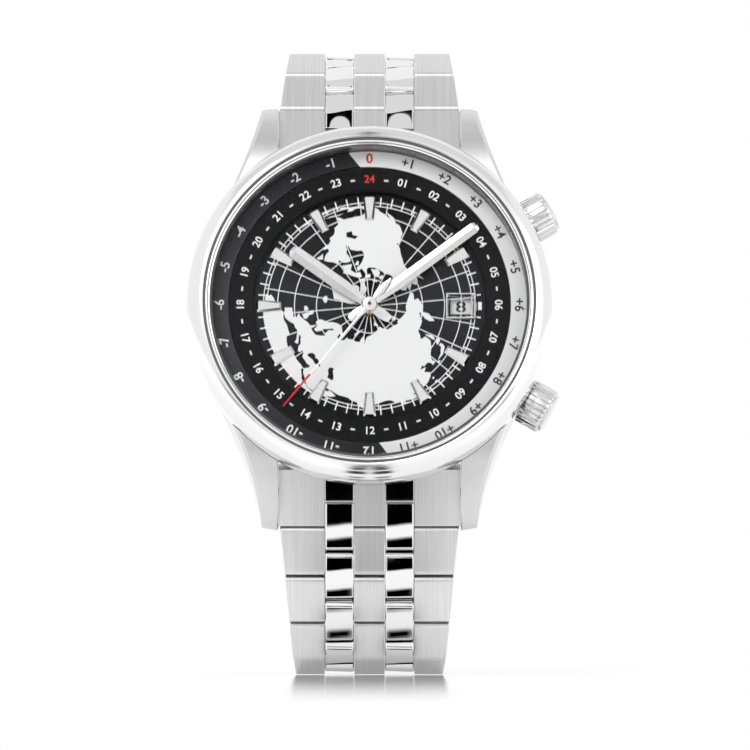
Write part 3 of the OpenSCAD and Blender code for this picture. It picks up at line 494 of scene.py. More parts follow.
def row_place(side, n):
    """Carries a row drawn along +x, with its columns along y and its outside up, to its pin."""
    slope = END_SLOPE + sum(BENDS[side][: n + 1])
    return spin(0 if side == 12 else 180) @ shift(0, *pin_at(side, n)) @ spin(-slope, "X") @ spin(90)


def link_outline(crown, near):
    """Side outline of a link: a top that is crowned a little, rounded shoulders and a round underside."""
    half, height, top = LINK_L / 2, LINK_T / 2, LINK_ROUND
    low = min(LINK_L / 4, LINK_T / 2) - 0.02
    points = arc(half - top, height - top - crown, top, 0, 90, 6)
    for k in (4, 3, 2, 1, 0, -1, -2, -3, -4):
        points.append((half * k / 6, height - crown * (half * k / 6 / (half - top)) ** 2))
    points += arc(near - half, height - near - crown, near, 90, 180, 6)
    points += arc(low - half, low - height, low, 180, 270, 10)
    points += arc(half - low, low - height, low, 270, 360, 10)
    return points


def add_link(bm, centre_x, y, width, crown, edge, place, taper=None, near=LINK_ROUND, twist=0.0, tilt=0.0):
    """A link as slices across its width, drawn in towards both sides so that its long edges are round.

    An outer link narrows along the row: taper holds its half row width at its two ends. A polished link's
    upper face is tilted or twisted by a hair, which bends what it mirrors."""
    outline = link_outline(crown, near)
    half, high = LINK_L / 2, LINK_T / 2
    turns = [i * math.pi / 12 for i in range(7)]
    slices = [(edge * (1 - math.cos(a)), edge * (1 - math.sin(a))) for a in turns] + [(edge + 0.08, 0)]
    rest = [(width - v, inset) for v, inset in slices[::-1]]
    if twist:
        slices += [(edge + (width - 2 * edge) * i / 12, 0) for i in range(1, 12)]
    rings = []
    for v, inset in slices + rest:
        along, up = (half - inset) / half, (high - inset) / high
        bend = tilt + twist * math.sin(math.pi * (v / width - 0.5))
        rings.append([bm.verts.new((centre_x + x * along, y - width / 2 + v,
                                    z * up - (bend * x if z > 0 else 0))) for x, z in outline])
    made = skin(bm, rings)
    if taper:
        for v in made:
            edge_y = taper[0] + (taper[1] - taper[0]) * (v.co.x - PITCH / 4) / PITCH
            share = (abs(v.co.y) - OUTER_IN) / width
            v.co.y = math.copysign(OUTER_IN + share * (edge_y - OUTER_IN), v.co.y)
    bmesh.ops.transform(bm, matrix=place, verts=made)


def bracelet_row(side, n):
    name = f"link_{side}_{n + 1}"
    place = row_place(side, n)
    outer_w = ROW_W[n] / 2 - OUTER_IN
    outer_y = OUTER_IN + outer_w / 2
    taper = (ROW_W[n] / 2, ROW_W[n + 1] / 2)
    middle = PITCH * 0.75
    satin = make_piece(f"{name}_brushed", (add_link, middle, 0, CENTRE_W, 0.02, 0.08, place),
                       *[(add_link, middle, s * outer_y, outer_w, 0.02, 0.08, place, taper) for s in (-1, 1)])
    dress(satin, link_brushed, name, name, slot="brushed_steel")
    # The first polished link at six carries on the end link's plane
    flat = side == 6 and n == 0
    crown = 0.03 if flat else 0.2
    near = LINK_ROUND if n else 0.06
    twist = 0.004 if flat else 0.022 if side == 12 else 0.014
    tilt = 0.02 if flat else 0.0
    bright = make_piece(f"{name}_polished", *[
        (add_link, PITCH / 4, s * POLISHED_Y, POLISHED_W, crown, 0.14, place, None, near, twist, tilt)
        for s in (-1, 1)])
    dress(bright, mirror_steel, name, name, slot="polished_steel")


for side in (12, 6):
    for n in range(ROWS):
        bracelet_row(side, n)


# Bezel

def bezel_outline():
    """A broad rounded bezel that comes down over the edge of the case, with a fine step at the crystal."""
    inner, top, low = OPENING_R + GASKET_W, BEZEL_TOP, BEZEL_LOW
    outline = [(inner, MIDDLE_TOP), (SHOULDER_R, MIDDLE_TOP), (SHOULDER_R, low + 0.02),
               (CASE_R - 0.12, low + 0.02), (CASE_R - 0.02, low + 0.1), (CASE_R, low + 0.2)]
    outline += bezier((CASE_R, low + BEZEL_WALL), (CASE_R - 0.08, top - 0.55), (19.32, top - 0.08), 28)
    outline += [(19.16, top - 0.12), (19.1, top - 0.34), (18.9, top - 0.34)]
    outline += arc(18.76, top - 0.26, 0.12, 0, 90, 5)
    return outline + [(18.62, top - 0.16), (18.54, top - 0.3), (inner, top - 0.4)]


def ring_outline(r_in, r_out, low, high):
    return [(r_in, low), (r_out, low), (r_out, high), (r_in, high)]


bezel = make_piece("bezel_polished", (add_turned, bezel_outline(), 256), sharp=28)
dress(bezel, bezel_steel, "case", "bezel")
# A dark ring laid in the bezel's groove: a painted shadow line
groove = ring_outline(18.9, 19.1, BEZEL_TOP - 0.36, BEZEL_TOP - 0.24)
dress(make_piece("bezel_groove_painted_shade", (add_turned, groove, 256)), groove_painted_shade, "case")


# Case

def height_on(line, y):
    """Height of a line of (y, z) points at one y."""
    for (y0, z0), (y1, z1) in zip(line, line[1:]):
        if y <= y1:
            return z0 + (z1 - z0) * max(0, y - y0) / (y1 - y0)
    return line[-1][1]


LUG_RUN = bezier((16.9, 11.4), (LUG_X + 2.8, LUG_Y - 6), (LUG_X + 1.9, LUG_Y - 0.5), 40)
LUG_TOP = bezier((13.5, MIDDLE_TOP - 0.2), (LUG_Y - 1.6, 7.6), (LUG_Y, 0.5), 60)
LUG_LOW = [(9, 1.3), (17, 1.3), (20, 0.7), (LUG_Y - 0.8, -0.2), (LUG_Y, 0.1)]
LUG_BEVEL = 0.55


def lug_section(t, steps=8):
    """One slice through a lug, from its inner face to its outer one, t from the case to the tip."""
    inner = (LUG_X, LUG_ROOT + (LUG_Y - 0.12 - LUG_ROOT) * t)
    outer = LUG_RUN[round(40 * t)]
    width = math.hypot(outer[0] - inner[0], outer[1] - inner[1])
    edge = 0.08 / width

    def at(u):
        x = inner[0] + (outer[0] - inner[0]) * u
        y = inner[1] + (outer[1] - inner[1]) * u
        return x, y, height_on(LUG_TOP, y), height_on(LUG_LOW, y)

    x, y, high, bottom = at(0)
    points = [(x, y, bottom + 0.1), (x, y, high - 0.1)]
    for i in range(steps + 1):
        points.append(at(edge + (1 - LUG_BEVEL / width - edge) * i / steps)[:3])
    x, y, high, bottom = at(1)
    points += [(x, y, high - LUG_BEVEL * 0.9), (x, y, bottom + 0.15)]
    for u in (1 - 0.15 / width, edge):
        x, y, high, bottom = at(u)
        points.append((x, y, bottom))
    return points


def add_lug(bm, side, end, slices=24):
    skin(bm, [[bm.verts.new((side * x, end * y, z)) for x, y, z in lug_section(i / slices)]
              for i in range(slices + 1)])


def make_lugs():
    """Four lugs, cleared where the bezel comes down over them."""
    lugs = make_piece("lugs", *[(add_lug, side, end) for side in (-1, 1) for end in (-1, 1)], sharp=32)
    room = ring_outline(0, CASE_R + 0.03, BEZEL_LOW - 0.01, 12)
    return cut(lugs, make_piece("lug_cutter", (add_turned, room, 256)), 32)


case_ring = [(BORE_R, 1.4), (BORE_R, MIDDLE_TOP - 0.02)] + FLANK[::-1]
dress(make_piece("case_ring", (add_turned, case_ring, 256), sharp=32), case_satin, "case", "case_middle")
dress(make_lugs(), case_satin, "case", "case_middle")


# Crowns

def crown_place(angle, start):
    return shift(0, 0, CROWN_Z) @ spin(angle) @ spin(90, "Y") @ shift(0, 0, start)


FLUTE_STEPS = 10
FLUTE_DEPTH = 0.17
CAP_R = CROWN_R - 0.34
CAP_RISE = 0.32


def add_crown(bm, place):
    """A fluted crown with a domed cap, from its inner face outwards. The grooves take the second material, a
    dark painted shade.
    """
    back, rim, cap = 0.5, CROWN_L + 0.03, CROWN_L + 0.2
    rings = [(1.4, back, 0), (1.4, 0.0, 0), (CROWN_R - 0.36, 0.0, 0), (CROWN_R - 0.1, 0.02, 0.6),
             (CROWN_R, 0.14, 1), (CROWN_R, CROWN_L - 0.4, 1), (CROWN_R - 0.02, CROWN_L - 0.12, 1),
             (CROWN_R - 0.12, CROWN_L, 0.5), (CROWN_R - 0.26, rim, 0), (CROWN_R - 0.32, rim + 0.03, 0),
             (CAP_R, cap, 0)]
    rings += [(r, cap + CAP_RISE * math.sqrt(1 - (r / CAP_R) ** 2), 0) for r in (2.2, 2.0, 1.6, 1.0, 0.5)]
    count = CROWN_FLUTES * FLUTE_STEPS
    loops = []
    for r, z, depth in rings:
        loop = []
        for i in range(count):
            phase = (i % FLUTE_STEPS) / FLUTE_STEPS
            groove = FLUTE_DEPTH * depth * max(0, math.sin(math.pi * phase * 2.5)) if phase < 0.4 else 0
            loop.append(bm.verts.new((*polar(r - groove, 360 * i / count), z)))
        loops.append(loop)
    tip, root = bm.verts.new((0, 0, cap + CAP_RISE)), bm.verts.new((0, 0, back))
    for k, (a, b) in enumerate(zip(loops, loops[1:])):
        for i in range(count):
            j = (i + 1) % count
            face = bm.faces.new((a[i], a[j], b[j], b[i]))
            face.material_index = int(i % FLUTE_STEPS < 4 and rings[k][2] > 0 and rings[k + 1][2] > 0)
    for i in range(count):
        j = (i + 1) % count
        bm.faces.new((loops[-1][i], loops[-1][j], tip))
        bm.faces.new((loops[0][j], loops[0][i], root))
    bmesh.ops.transform(bm, matrix=place, verts=bm.verts)


def pinion_outline(teeth=8):
    step = 360 / teeth
    return [polar(r, (i + 0.5 + k / 2) * step) for i in range(teeth)
            for k, r in ((-0.34, 1.05), (-0.18, 2.0), (0.18, 2.0), (0.34, 1.05))]


for crown, angle in (("setting_crown", 30), ("city_crown", -30)):
    fluted = make_piece(crown + "_fluted", (add_crown, crown_place(angle, CROWN_FROM)), sharp=40)
    # The flutes' grooves are painted dark as shade
    dress(fluted, crown_steel, crown, crown).data.materials.append(groove_painted_shade)
stem_place = crown_place(-30, STEM_FROM)
city_stem = make_piece("city_stem", (add_prism, pinion_outline(), 0.3, 1.2, stem_place),
                       (add_turned, ring_outline(0, 0.6, 0, 6.4), 32, stem_place))
dress(city_stem, train_steel, "city_crown", "city_crown")


# Dial: a map seen from above the pole, cut from chosen latitudes and longitudes

MAP_R = 12.2
TOP_LONGITUDE = -100
LAND = {
    "north_america": (
        (66, -168), (65, -166), (63, -161), (61, -165), (59, -162), (58, -157), (55, -163), (56, -159),
        (59, -153), (61, -150), (60, -146), (59, -139), (57, -135), (54, -130), (51, -127), (49, -123),
        (48, -125), (43, -124), (40, -124), (37, -122), (34, -120), (33, -117), (28, -115), (25, -112),
        (23, -110), (26, -111), (31, -114), (29, -112), (26, -109), (23, -106), (20, -105), (18, -103),
        (16, -99), (16, -95), (14, -92), (13, -88), (10, -86), (8, -83), (7.2, -80), (8.7, -79), (7, -78),
        (4, -77), (1, -79), (0, -80), (0, -50), (2, -50), (5, -52), (6, -57), (8, -60), (10, -62),
        (10, -67), (12, -71), (11, -74), (9.4, -76), (10, -79.5), (9.6, -82), (11, -84), (15, -83),
        (16, -88), (21, -87), (21, -90), (18, -92), (18, -95), (22, -98), (26, -97), (29, -95), (29, -91),
        (30, -87), (30, -84), (28, -83), (25, -81), (26, -80), (30, -81), (33, -79), (35, -76), (37, -76),
        (40, -74), (41, -70), (43, -70), (45, -67), (44, -65), (46, -61), (47, -65), (49, -65), (50, -60),
        (52, -56), (54, -57), (57, -61), (60, -64), (58, -67), (61, -70), (62, -74), (62, -78), (59, -78),
        (56, -77), (54, -79), (51, -79), (52, -81), (55, -82), (57, -88), (57, -92), (59, -94), (61, -94),
        (64, -91), (66, -87), (67, -82), (69, -82), (69, -85), (68, -88), (70, -91), (72, -94), (69, -96),
        (68, -99), (68, -108), (69, -114), (69, -118), (70, -125), (69, -131), (69, -136), (70, -145),
        (71, -156), (70, -163), (68, -166), (66, -162)),
    "greenland": (
        (60, -44), (61, -49), (65, -53), (69, -51), (71, -54), (75, -58), (76, -68), (78, -72), (80, -66),
        (82, -58), (83, -38), (82, -22), (80, -17), (76, -19), (73, -22), (70, -22), (68, -32), (66, -38),
        (63, -42)),
    "baffin": (
        (62, -66), (63, -71), (64, -78), (67, -73), (70, -78), (70, -85), (73, -86), (73, -80), (71, -72),
        (69, -68), (66, -62), (65, -66)),
    "ellesmere": ((76, -89), (76, -80), (78, -76), (81, -64), (83, -70), (82, -85), (80, -92), (78, -88)),
    "devon": ((74, -92), (74, -80), (75.6, -80), (76, -91)),
    "victoria": ((69, -102), (69, -113), (70, -117), (73, -117), (73, -109), (71, -105)),
    "banks": ((71, -123), (73, -125), (74, -121), (73, -117), (72, -119)),
    "melville": ((75, -116), (75, -105), (76, -108), (76, -117)),
    "somerset": ((72, -102), (74, -101), (74, -91), (72, -93)),
    "southampton": ((63, -85), (64, -87), (66, -85), (65, -81)),
    "newfoundland": ((47, -53), (48, -59), (51, -56), (49, -53)),
    "cuba": ((22, -85), (23, -82), (22, -78), (20, -74), (20, -77), (22, -82)),
    "hispaniola": ((18, -74), (20, -73), (19.5, -69), (18, -69)),
    "iceland": ((63.4, -19), (64, -22), (65.5, -24), (66.3, -21), (66.3, -16), (65, -14)),
    "britain": (
        (50, -5), (51, -3), (53, -4), (55, -4), (57, -6), (58.5, -5), (57.5, -2), (55, -1.5), (53, 1.5),
        (51, 1), (50.6, -2)),
    "ireland": ((52, -10), (54, -10), (55, -7), (54, -6), (52, -6)),
    "svalbard": ((77, 16), (78, 12), (80, 16), (80, 26), (78, 22)),
    "novaya": ((71, 57), (72, 52), (75, 57), (77, 68), (75, 61), (72, 57)),
    "severnaya": ((78, 103), (79, 92), (81, 96), (79, 104)),
    "siberian_islands": ((74, 139), (76, 138), (76, 144), (75, 150), (74, 143)),
    "honshu": (
        (34, 131), (35, 133), (36, 136), (37, 137), (39, 140), (41, 140), (41, 142), (38, 142), (36, 141),
        (34.6, 138), (33.5, 136), (34, 133)),
    "kyushu": ((31, 130), (33, 129.5), (33.6, 131), (32, 132)),
    "hokkaido": ((42, 140), (43, 140), (45, 142), (44, 145), (43, 145), (42, 143)),
    "sakhalin": ((46, 142), (50, 142), (54, 142.4), (52, 143.6), (49, 144.6), (47, 143.6)),
    "taiwan": ((22, 120.8), (24, 120), (25, 121.7), (23, 121.6)),
    "luzon": ((14, 120), (16, 119.8), (18.5, 120.6), (18, 122.2), (15.5, 121.6), (13, 124), (13.8, 121.5)),
    "mindanao": ((7, 122), (8.5, 123.3), (9.7, 125.5), (7, 126.5), (5.7, 125.3)),
    "borneo": ((0, 109), (2, 109.6), (3, 113), (5, 115), (7, 117), (5, 119), (2, 118), (0, 117.6)),
    "sumatra": ((5.6, 95.3), (5, 97.5), (3, 99.5), (0, 103.5), (0, 100), (2, 98.5)),
    "hainan": ((18.3, 109), (20, 110.8), (20, 109)),
    "ceylon": ((6, 80.5), (8, 79.8), (9.7, 80.2), (7.5, 81.8)),
    "africa": (
        (0, 9), (2, 10), (4, 9), (4, 6), (6, 3), (5, -2), (4, -8), (7, -12), (9, -14), (12, -17), (15, -17),
        (18, -16), (21, -17), (25, -15), (28, -12), (30, -10), (33, -8), (35.8, -6), (35, -2), (37, 3),
        (37, 10), (34, 10), (32, 13), (30, 18), (32, 21), (31, 26), (31, 30), (31, 32), (30, 32.6),
        (27, 33.7), (24, 35.4), (20, 37), (17, 38.6), (15, 40), (12.6, 43), (10.5, 45), (11.8, 51), (8, 50),
        (4, 48), (1.5, 44.5), (0, 43)),
    "eurasia": (
        (37, -9), (43, -9), (43.6, -2), (46, -1), (48, -4.7), (48.7, -1.5), (51, 2), (53, 5), (54, 8.5),
        (57.5, 10), (56, 11), (54, 11), (54, 14), (54.6, 18.5), (57, 21.5), (59, 23.5), (60, 28),
        (60, 22.5), (63, 21), (66, 25), (66, 22), (63, 19), (61, 17), (59, 17.5), (56, 16), (55.4, 13),
        (58.5, 11), (58, 7), (60, 5), (62, 6), (65, 11.5), (68, 14.5), (70, 19.5), (71, 26), (70, 31),
        (68, 38), (66.5, 41), (67, 33), (64.5, 35), (64.5, 40), (66, 44), (68.4, 45), (68, 48), (69, 54),
        (68.5, 59), (69, 65), (73, 69), (71, 72), (68, 73), (72.5, 75), (74, 86), (76, 98), (77.6, 104),
        (75, 112), (73.5, 118), (73, 128), (71.5, 138), (72.5, 141), (71, 152), (69.5, 161), (70, 170),
        (69, 178), (66, 189.5), (64.5, 187), (65, 178), (62.4, 179.5), (60, 170), (60, 164), (56, 163),
        (51, 157), (54, 155.7), (57.5, 157), (61.5, 163.5), (61.7, 160), (59, 154), (59, 143),
        (54.5, 136.5), (53, 141), (48.5, 140), (43, 132), (41, 129.7), (38, 128.5), (35, 129.4),
        (34.4, 126.5), (37.5, 126.5), (39.7, 125), (39, 121.5), (41, 121), (39, 118), (37.5, 122),
        (35, 119), (31.5, 121.7), (27.5, 120.6), (23.5, 117), (22, 114), (21, 110.3), (21.5, 108.5),
        (19, 105.7), (15.5, 108.5), (11.5, 109), (8.7, 105), (10.5, 104.5), (13.4, 100.6), (9.3, 99.3),
        (6.5, 102), (1.3, 104), (3, 101), (7.5, 98.4), (13.5, 98.3), (16.5, 97), (16, 94.5), (19.5, 93.7),
        (22.4, 91.5), (21.7, 88), (19.5, 85), (16, 81.3), (13, 80.3), (10, 79.5), (8, 77.5), (11.5, 75.6),
        (16, 73.4), (20.5, 72.8), (22.5, 69), (25, 67), (25, 61.5), (27, 56.7), (27.5, 52.5), (30, 49.5),
        (26, 50), (24, 51.6), (24, 54), (26, 56.3), (22.5, 59.8), (19, 57.7), (17, 55), (14.5, 49),
        (12.8, 45), (15.5, 42.7), (20, 40.3), (24, 37.8), (28, 35), (31.5, 34.4), (34, 35.8), (36.7, 36),
        (36, 33), (36.6, 30.5), (37, 27.5), (40, 26), (40.5, 23.8), (38, 24), (36.6, 22.7), (39.5, 20),
        (42, 19.3), (45.5, 13.8), (44, 12.6), (42, 16), (40, 18.4), (38, 16), (40.5, 15), (43.8, 10),
        (44, 8.5), (43, 6), (43, 3.5), (41, 2), (38.7, 0), (36.7, -2), (36, -5.6), (37, -7)),
}
SEAS = {
    "black_sea": (
        (41, 29), (43, 28.5), (45.5, 30), (46, 33), (44.5, 34), (45, 36.5), (43.5, 40), (41.5, 41.5),
        (41, 36.5), (42, 34)),
    "caspian": (
        (37, 54), (37.3, 50), (40.5, 49.5), (43, 47.6), (45.5, 47.5), (46.7, 51), (44.5, 51), (41.5, 53)),
    "great_lakes": (
        (42, -83), (42, -87), (45, -87), (47, -91), (48.5, -88), (46.5, -84), (44, -80), (45.5, -82)),
}


def on_map(lat, lon):
    return polar(MAP_R * math.cos(math.radians(lat)), 90 + lon - TOP_LONGITUDE)


COAST_STEP = 2.5
COAST_WANDER = 0.07


def coast(points):
    """The outline on the dial, with a point every few degrees so that long edges keep the globe's curves."""
    out = []
    for (lat, lon), (lat2, lon2) in zip(points, points[1:] + points[:1]):
        apart = max(abs(lat2 - lat), abs(lon2 - lon) * math.cos(math.radians(lat)))
        steps = max(1, round(apart / COAST_STEP))
        for i in range(steps):
            x, y = on_map(lat + (lat2 - lat) * i / steps, lon + (lon2 - lon) * i / steps)
            rough = COAST_WANDER if i and lat > 13 else 0
            wander = rough * math.sin(7.3 * x + 5.1 * y) * math.cos(6.1 * y - 4.7 * x)
            out.append((x + wander, y - wander))
    return out


def add_patch(bm, outline, low, high):
    """A flat closed piece whose outline may bend in and out as it likes."""
    points = [Vector(p) for p in outline]
    flat, edges, faces = delaunay_2d_cdt(points, [], [list(range(len(points)))], 1, 1e-5)[:3]
    bottom = [bm.verts.new((*p, low)) for p in flat]
    top = [bm.verts.new((*p, high)) for p in flat]
    uses = {}
    for face in faces:
        bm.faces.new([top[i] for i in face])
        bm.faces.new([bottom[i] for i in face[::-1]])
        for a, b in zip(face, face[1:] + face[:1]):
            uses.setdefault((min(a, b), max(a, b)), []).append((a, b))
    for sides in uses.values():
        if len(sides) == 1:
            a, b = sides[0]
            bm.faces.new((bottom[a], bottom[b], top[b], top[a]))
    bmesh.ops.delete(bm, geom=[v for v in bottom + top if not v.link_faces], context="VERTS")


def add_shapes(bm, shapes, low, high):
    for points in shapes.values():
        add_patch(bm, coast(points), low, high)


# A tree that repeats a mark round the dial

NO_SKIP = 10 ** 6


def round_tree():
    """Copies one mark round the dial's axis, and leaves out each one whose number divides by Skip."""
    tree = bpy.data.node_groups.new("round_the_dial", "GeometryNodeTree")
    for label, kind in (("Geometry", "Geometry"), ("Count", "Int"), ("Start", "Float"), ("Step", "Float"),
                        ("Skip", "Int"), ("Material", "Material")):
        tree.interface.new_socket(label, in_out="INPUT", socket_type="NodeSocket" + kind)
    tree.interface.new_socket("Geometry", in_out="OUTPUT", socket_type="NodeSocketGeometry")
    given = tree.nodes.new("NodeGroupInput").outputs
    index = add(tree, "GeometryNodeInputIndex").outputs[0]
    angle = calc(tree, "RADIANS", calc(tree, "MULTIPLY_ADD", index, given["Step"], given["Start"]))
    turn = add(tree, "ShaderNodeCombineXYZ", {"Z": angle}).outputs[0]
    rest = calc(tree, "FLOORED_MODULO", calc(tree, "ADD", index, 1.0), given["Skip"])
    keep = add(tree, "FunctionNodeCompare", {"A": rest, "B": 0.5}, data_type="FLOAT",
               operation="GREATER_THAN")
    line = add(tree, "GeometryNodeMeshLine", {"Count": given["Count"], "Offset": (0, 0, 0)})
    copies = add(tree, "GeometryNodeInstanceOnPoints", {
        "Points": line.outputs["Mesh"], "Selection": keep.outputs["Result"], "Instance": given["Geometry"],
        "Rotation": turn})
    real = add(tree, "GeometryNodeRealizeInstances", {"Geometry": copies.outputs["Instances"]})
    paint = add(tree, "GeometryNodeSetMaterial", {"Geometry": real.outputs["Geometry"],
                                                  "Material": given["Material"]})
    add(tree, "NodeGroupOutput", {"Geometry": paint.outputs["Geometry"]})
    return tree


ROUND = round_tree()


def plain_mesh(holder, tree, values):
    """Runs a tree on a holder object and gives back the finished mesh."""
    bpy.context.scene.collection.objects.link(holder)
    modifier = holder.modifiers.new("tree", "NODES")
    modifier.node_group = tree
    for item in tree.interface.items_tree:
        if item.in_out == "INPUT" and item.name in values:
            modifier[item.identifier] = values[item.name]
    depsgraph = bpy.context.evaluated_depsgraph_get()
    mesh = bpy.data.meshes.new_from_object(holder.evaluated_get(depsgraph))
    holder.modifiers.clear()
    old = holder.data
    bpy.data.objects.remove(holder)
    bpy.data.meshes.remove(old)
    return mesh


def repeated(name, shape, material, count, step, start=0.0, skip=NO_SKIP, sharp=35.0, also=None):
    """A ring of copies of one mark, given as its function and what that takes, standing with the watch."""
    maker, *sizes = shape
    bm = bmesh.new()
    maker(bm, *sizes)
    mark = bpy.data.meshes.new(name + "_mark")
    bmesh.ops.recalc_face_normals(bm, faces=bm.faces)
    bm.to_mesh(mark)
    bm.free()
    holder = bpy.data.objects.new(name + "_holder", mark)
    mesh = plain_mesh(holder, ROUND, {
        "Count": count, "Start": float(start), "Step": float(step), "Skip": skip, "Material": material})
    whole = bmesh.new()
    whole.from_mesh(mesh)
    bpy.data.meshes.remove(mesh)
    if also:
        also(whole)
    return finish_mesh(whole, name, sharp)


# Dial

dial = [(1.17, DIAL_TOP - 0.4), (DIAL_R - 0.05, DIAL_TOP - 0.4), (DIAL_R, DIAL_TOP - 0.35),
        (DIAL_R, DIAL_TOP - 0.05), (DIAL_R - 0.05, DIAL_TOP), (1.2, DIAL_TOP), (1.17, DIAL_TOP - 0.03)]
window = make_piece("window_cutter", (add_prism, rectangle(9.3, 11.7, 0.95), DIAL_TOP - 2, DIAL_TOP + 1))
dress(cut(make_piece("dial_plate", (add_turned, dial, 128)), window), sea_black, "case", "dial")

GRID_W = 0.11
GRID_LOW = DIAL_TOP - 0.01
GRID_HIGH = DIAL_TOP + 0.012


def add_parallels(bm):
    for lat in (0, 15, 30, 45, 60, 75):
        r = MAP_R * math.cos(math.radians(lat))
        add_turned(bm, ring_outline(r - GRID_W / 2, r + GRID_W / 2, GRID_LOW, GRID_HIGH), 180)


meridian = (add_prism, rectangle(1.25, MAP_R, GRID_W / 2), GRID_LOW, GRID_HIGH)
dress(repeated("map_grid", meridian, print_grey, 24, 15, 5, also=add_parallels), print_grey, "case")
land = (add_shapes, LAND, DIAL_TOP - 0.01, DIAL_TOP + 0.03)
seas = (add_shapes, SEAS, DIAL_TOP + 0.01, DIAL_TOP + 0.036)
dress(make_piece("map_land", land, sharp=0), land_silver, "case")
dress(make_piece("map_seas", seas, sharp=0), sea_black, "case")


def tick_ring(name, r_in, r_out, width, low, high, material, body, *turns):
    """Flat ticks round the dial; turns holds their number, angle apart, first angle and what to skip."""
    tick = (add_prism, rectangle(r_in, r_out, width / 2), low, high)
    dress(repeated(name, tick, material, *turns), material, body)


tick_ring("minute_track", 11.85, 12.85, 0.15, DIAL_TOP, DIAL_TOP + 0.045, print_white, "case", 60, -6, 84, 5)


# Markers and the date window's frame

def add_marker(bm, r_in, r_out, w_in, w_out, high, corner=0.12):
    """An applied marker: a wedge whose four sides are bevelled up to a flat face."""
    rings = []
    for inset, z in ((0, -0.02), (0, high * 0.45), (0.22, high)):
        near, far = r_in + inset, r_out - inset
        a, b = w_in / 2 - inset, w_out / 2 - inset
        points = [(near, -a), (far - corner, -b), (far, -b + corner), (far, b - corner), (far - corner, b),
                  (near, a)]
        rings.append([bm.verts.new((x, y, DIAL_TOP + z)) for x, y in points])
    skin(bm, rings)


def add_date_frame(bm):
    """A bevelled frame, from its inner wall under the dial's face over its flat top to the window's edge."""
    rings = []
    for inset, z in ((0.45, -0.02), (0, -0.02), (0, 0.22), (0.12, 0.38), (0.24, 0.38), (0.45, 0.05)):
        rings.append([bm.verts.new((DATE_X + x * (1.8 - inset), y * (1.58 - inset), DIAL_TOP + z))
                      for x, y in ((-1, -1), (1, -1), (1, 1), (-1, 1))])
    skin(bm, rings + rings[:1], ends=False)


# Markers go from four o'clock round to two, so that three stays free for the date
marker = (add_marker, 10.15, 13.0, 0.95, 1.5, 0.38)
markers = repeated("applied_markers", marker, marker_steel, 11, -30, -30, also=add_date_frame, sharp=12)
dress(markers, marker_steel, "case", "hour_markers")
date_mark = (add_prism, rectangle(12.47, 12.9, 0.45), DIAL_TOP, DIAL_TOP + 0.12)
dress(make_piece("three_mark", date_mark), print_white, "case")


# Figures

def lettering(body, size, bold):
    curve = bpy.data.curves.new("word", "FONT")
    curve.body = body
    curve.size = size
    curve.align_x = "CENTER"
    curve.align_y = "CENTER"
    curve.extrude = 0.02
    curve.offset = bold
    curve.resolution_u = 3
    item = bpy.data.objects.new("word", curve)
    bpy.context.scene.collection.objects.link(item)
    depsgraph = bpy.context.evaluated_depsgraph_get()
    mesh = bpy.data.meshes.new_from_object(item.evaluated_get(depsgraph))
    bpy.data.objects.remove(item)
    bpy.data.curves.remove(curve)
    return mesh


def add_words(bm, words, r, z, size, bold, upright=False):
    """Sets short figures round the dial, each with its angle clockwise from twelve."""
    for body, angle in words:
        flip = 180 if upright and 90 < angle % 360 < 270 else 0
        mesh = lettering(body, size, bold)
        face = bmesh.new()
        face.from_mesh(mesh)
        bmesh.ops.remove_doubles(face, verts=face.verts, dist=1e-5)
        bmesh.ops.transform(face, matrix=spin(-angle) @ shift(0, r, z) @ spin(flip), verts=face.verts)
        face.to_mesh(mesh)
        face.free()
        bm.from_mesh(mesh)
        bpy.data.meshes.remove(mesh)


def words_piece(name, material, body, *sizes):
    dress(make_piece(name, (add_words, *sizes), sharp=20), material, body)


OFFSET_WORDS_Z = OFFSET_TOP + 0.015
RING_WORDS_Z = RING_TOP + 0.012


def add_half_ring(bm, start_in, end_in, start_out, end_out, steps=96):
    """Part of the offset ring whose two ends are cut on a slant, its angles clockwise from twelve."""
    inner = arc(0, 0, OFFSET_IN_R, 90 - start_in, 90 - end_in, steps)
    outer = arc(0, 0, OPENING_R - 0.04, 90 - end_out, 90 - start_out, steps)
    add_prism(bm, inner + outer, OFFSET_TOP - 0.4, OFFSET_TOP)


for name, ends, material in (("offset_light_half", (-3.8, 176.1, -7.7, 172.4), ring_white),
                             ("offset_dark_half", (176.1, 356.2, 172.4, 352.3), ring_grey)):
    dress(make_piece(name, (add_half_ring, *ends)), material, "case", "offset_ring")

ahead = [(f"+{i}", 15 * i) for i in range(1, 12)]
behind = [(f"-{i}", -15 * i) for i in range(1, 12)] + [("12", 180)]
words_piece("offset_zero", print_red, "case", [("0", 0)], OFFSET_WORDS_R, OFFSET_WORDS_Z, 1.6, 0.03)
words_piece("offset_plus", print_black, "case", ahead, OFFSET_WORDS_R, OFFSET_WORDS_Z, 1.5, 0.025)
words_piece("offset_minus", print_white, "case", behind, OFFSET_WORDS_R, OFFSET_WORDS_Z, 1.5, 0.025)

# Twenty-four hour figures round the city ring, the one at the top in red
hours = [(f"{i:02d}", 15 * i) for i in range(1, 24)]
words_piece("city_hours", print_white, "city_ring", hours, RING_WORDS_R, RING_WORDS_Z, 1.25, 0.02, True)
words_piece("city_noon", print_red, "city_ring", [("24", 0)], RING_WORDS_R, RING_WORDS_Z, 1.25, 0.02)
tick_ring("city_dots", 14.65, 14.85, 0.5, RING_TOP, RING_TOP + 0.02, print_grey, "city_ring", 24, -15, 82.5)


# Hands

def hand_place(angle, z):
    return spin(-angle) @ shift(0, 0, z)


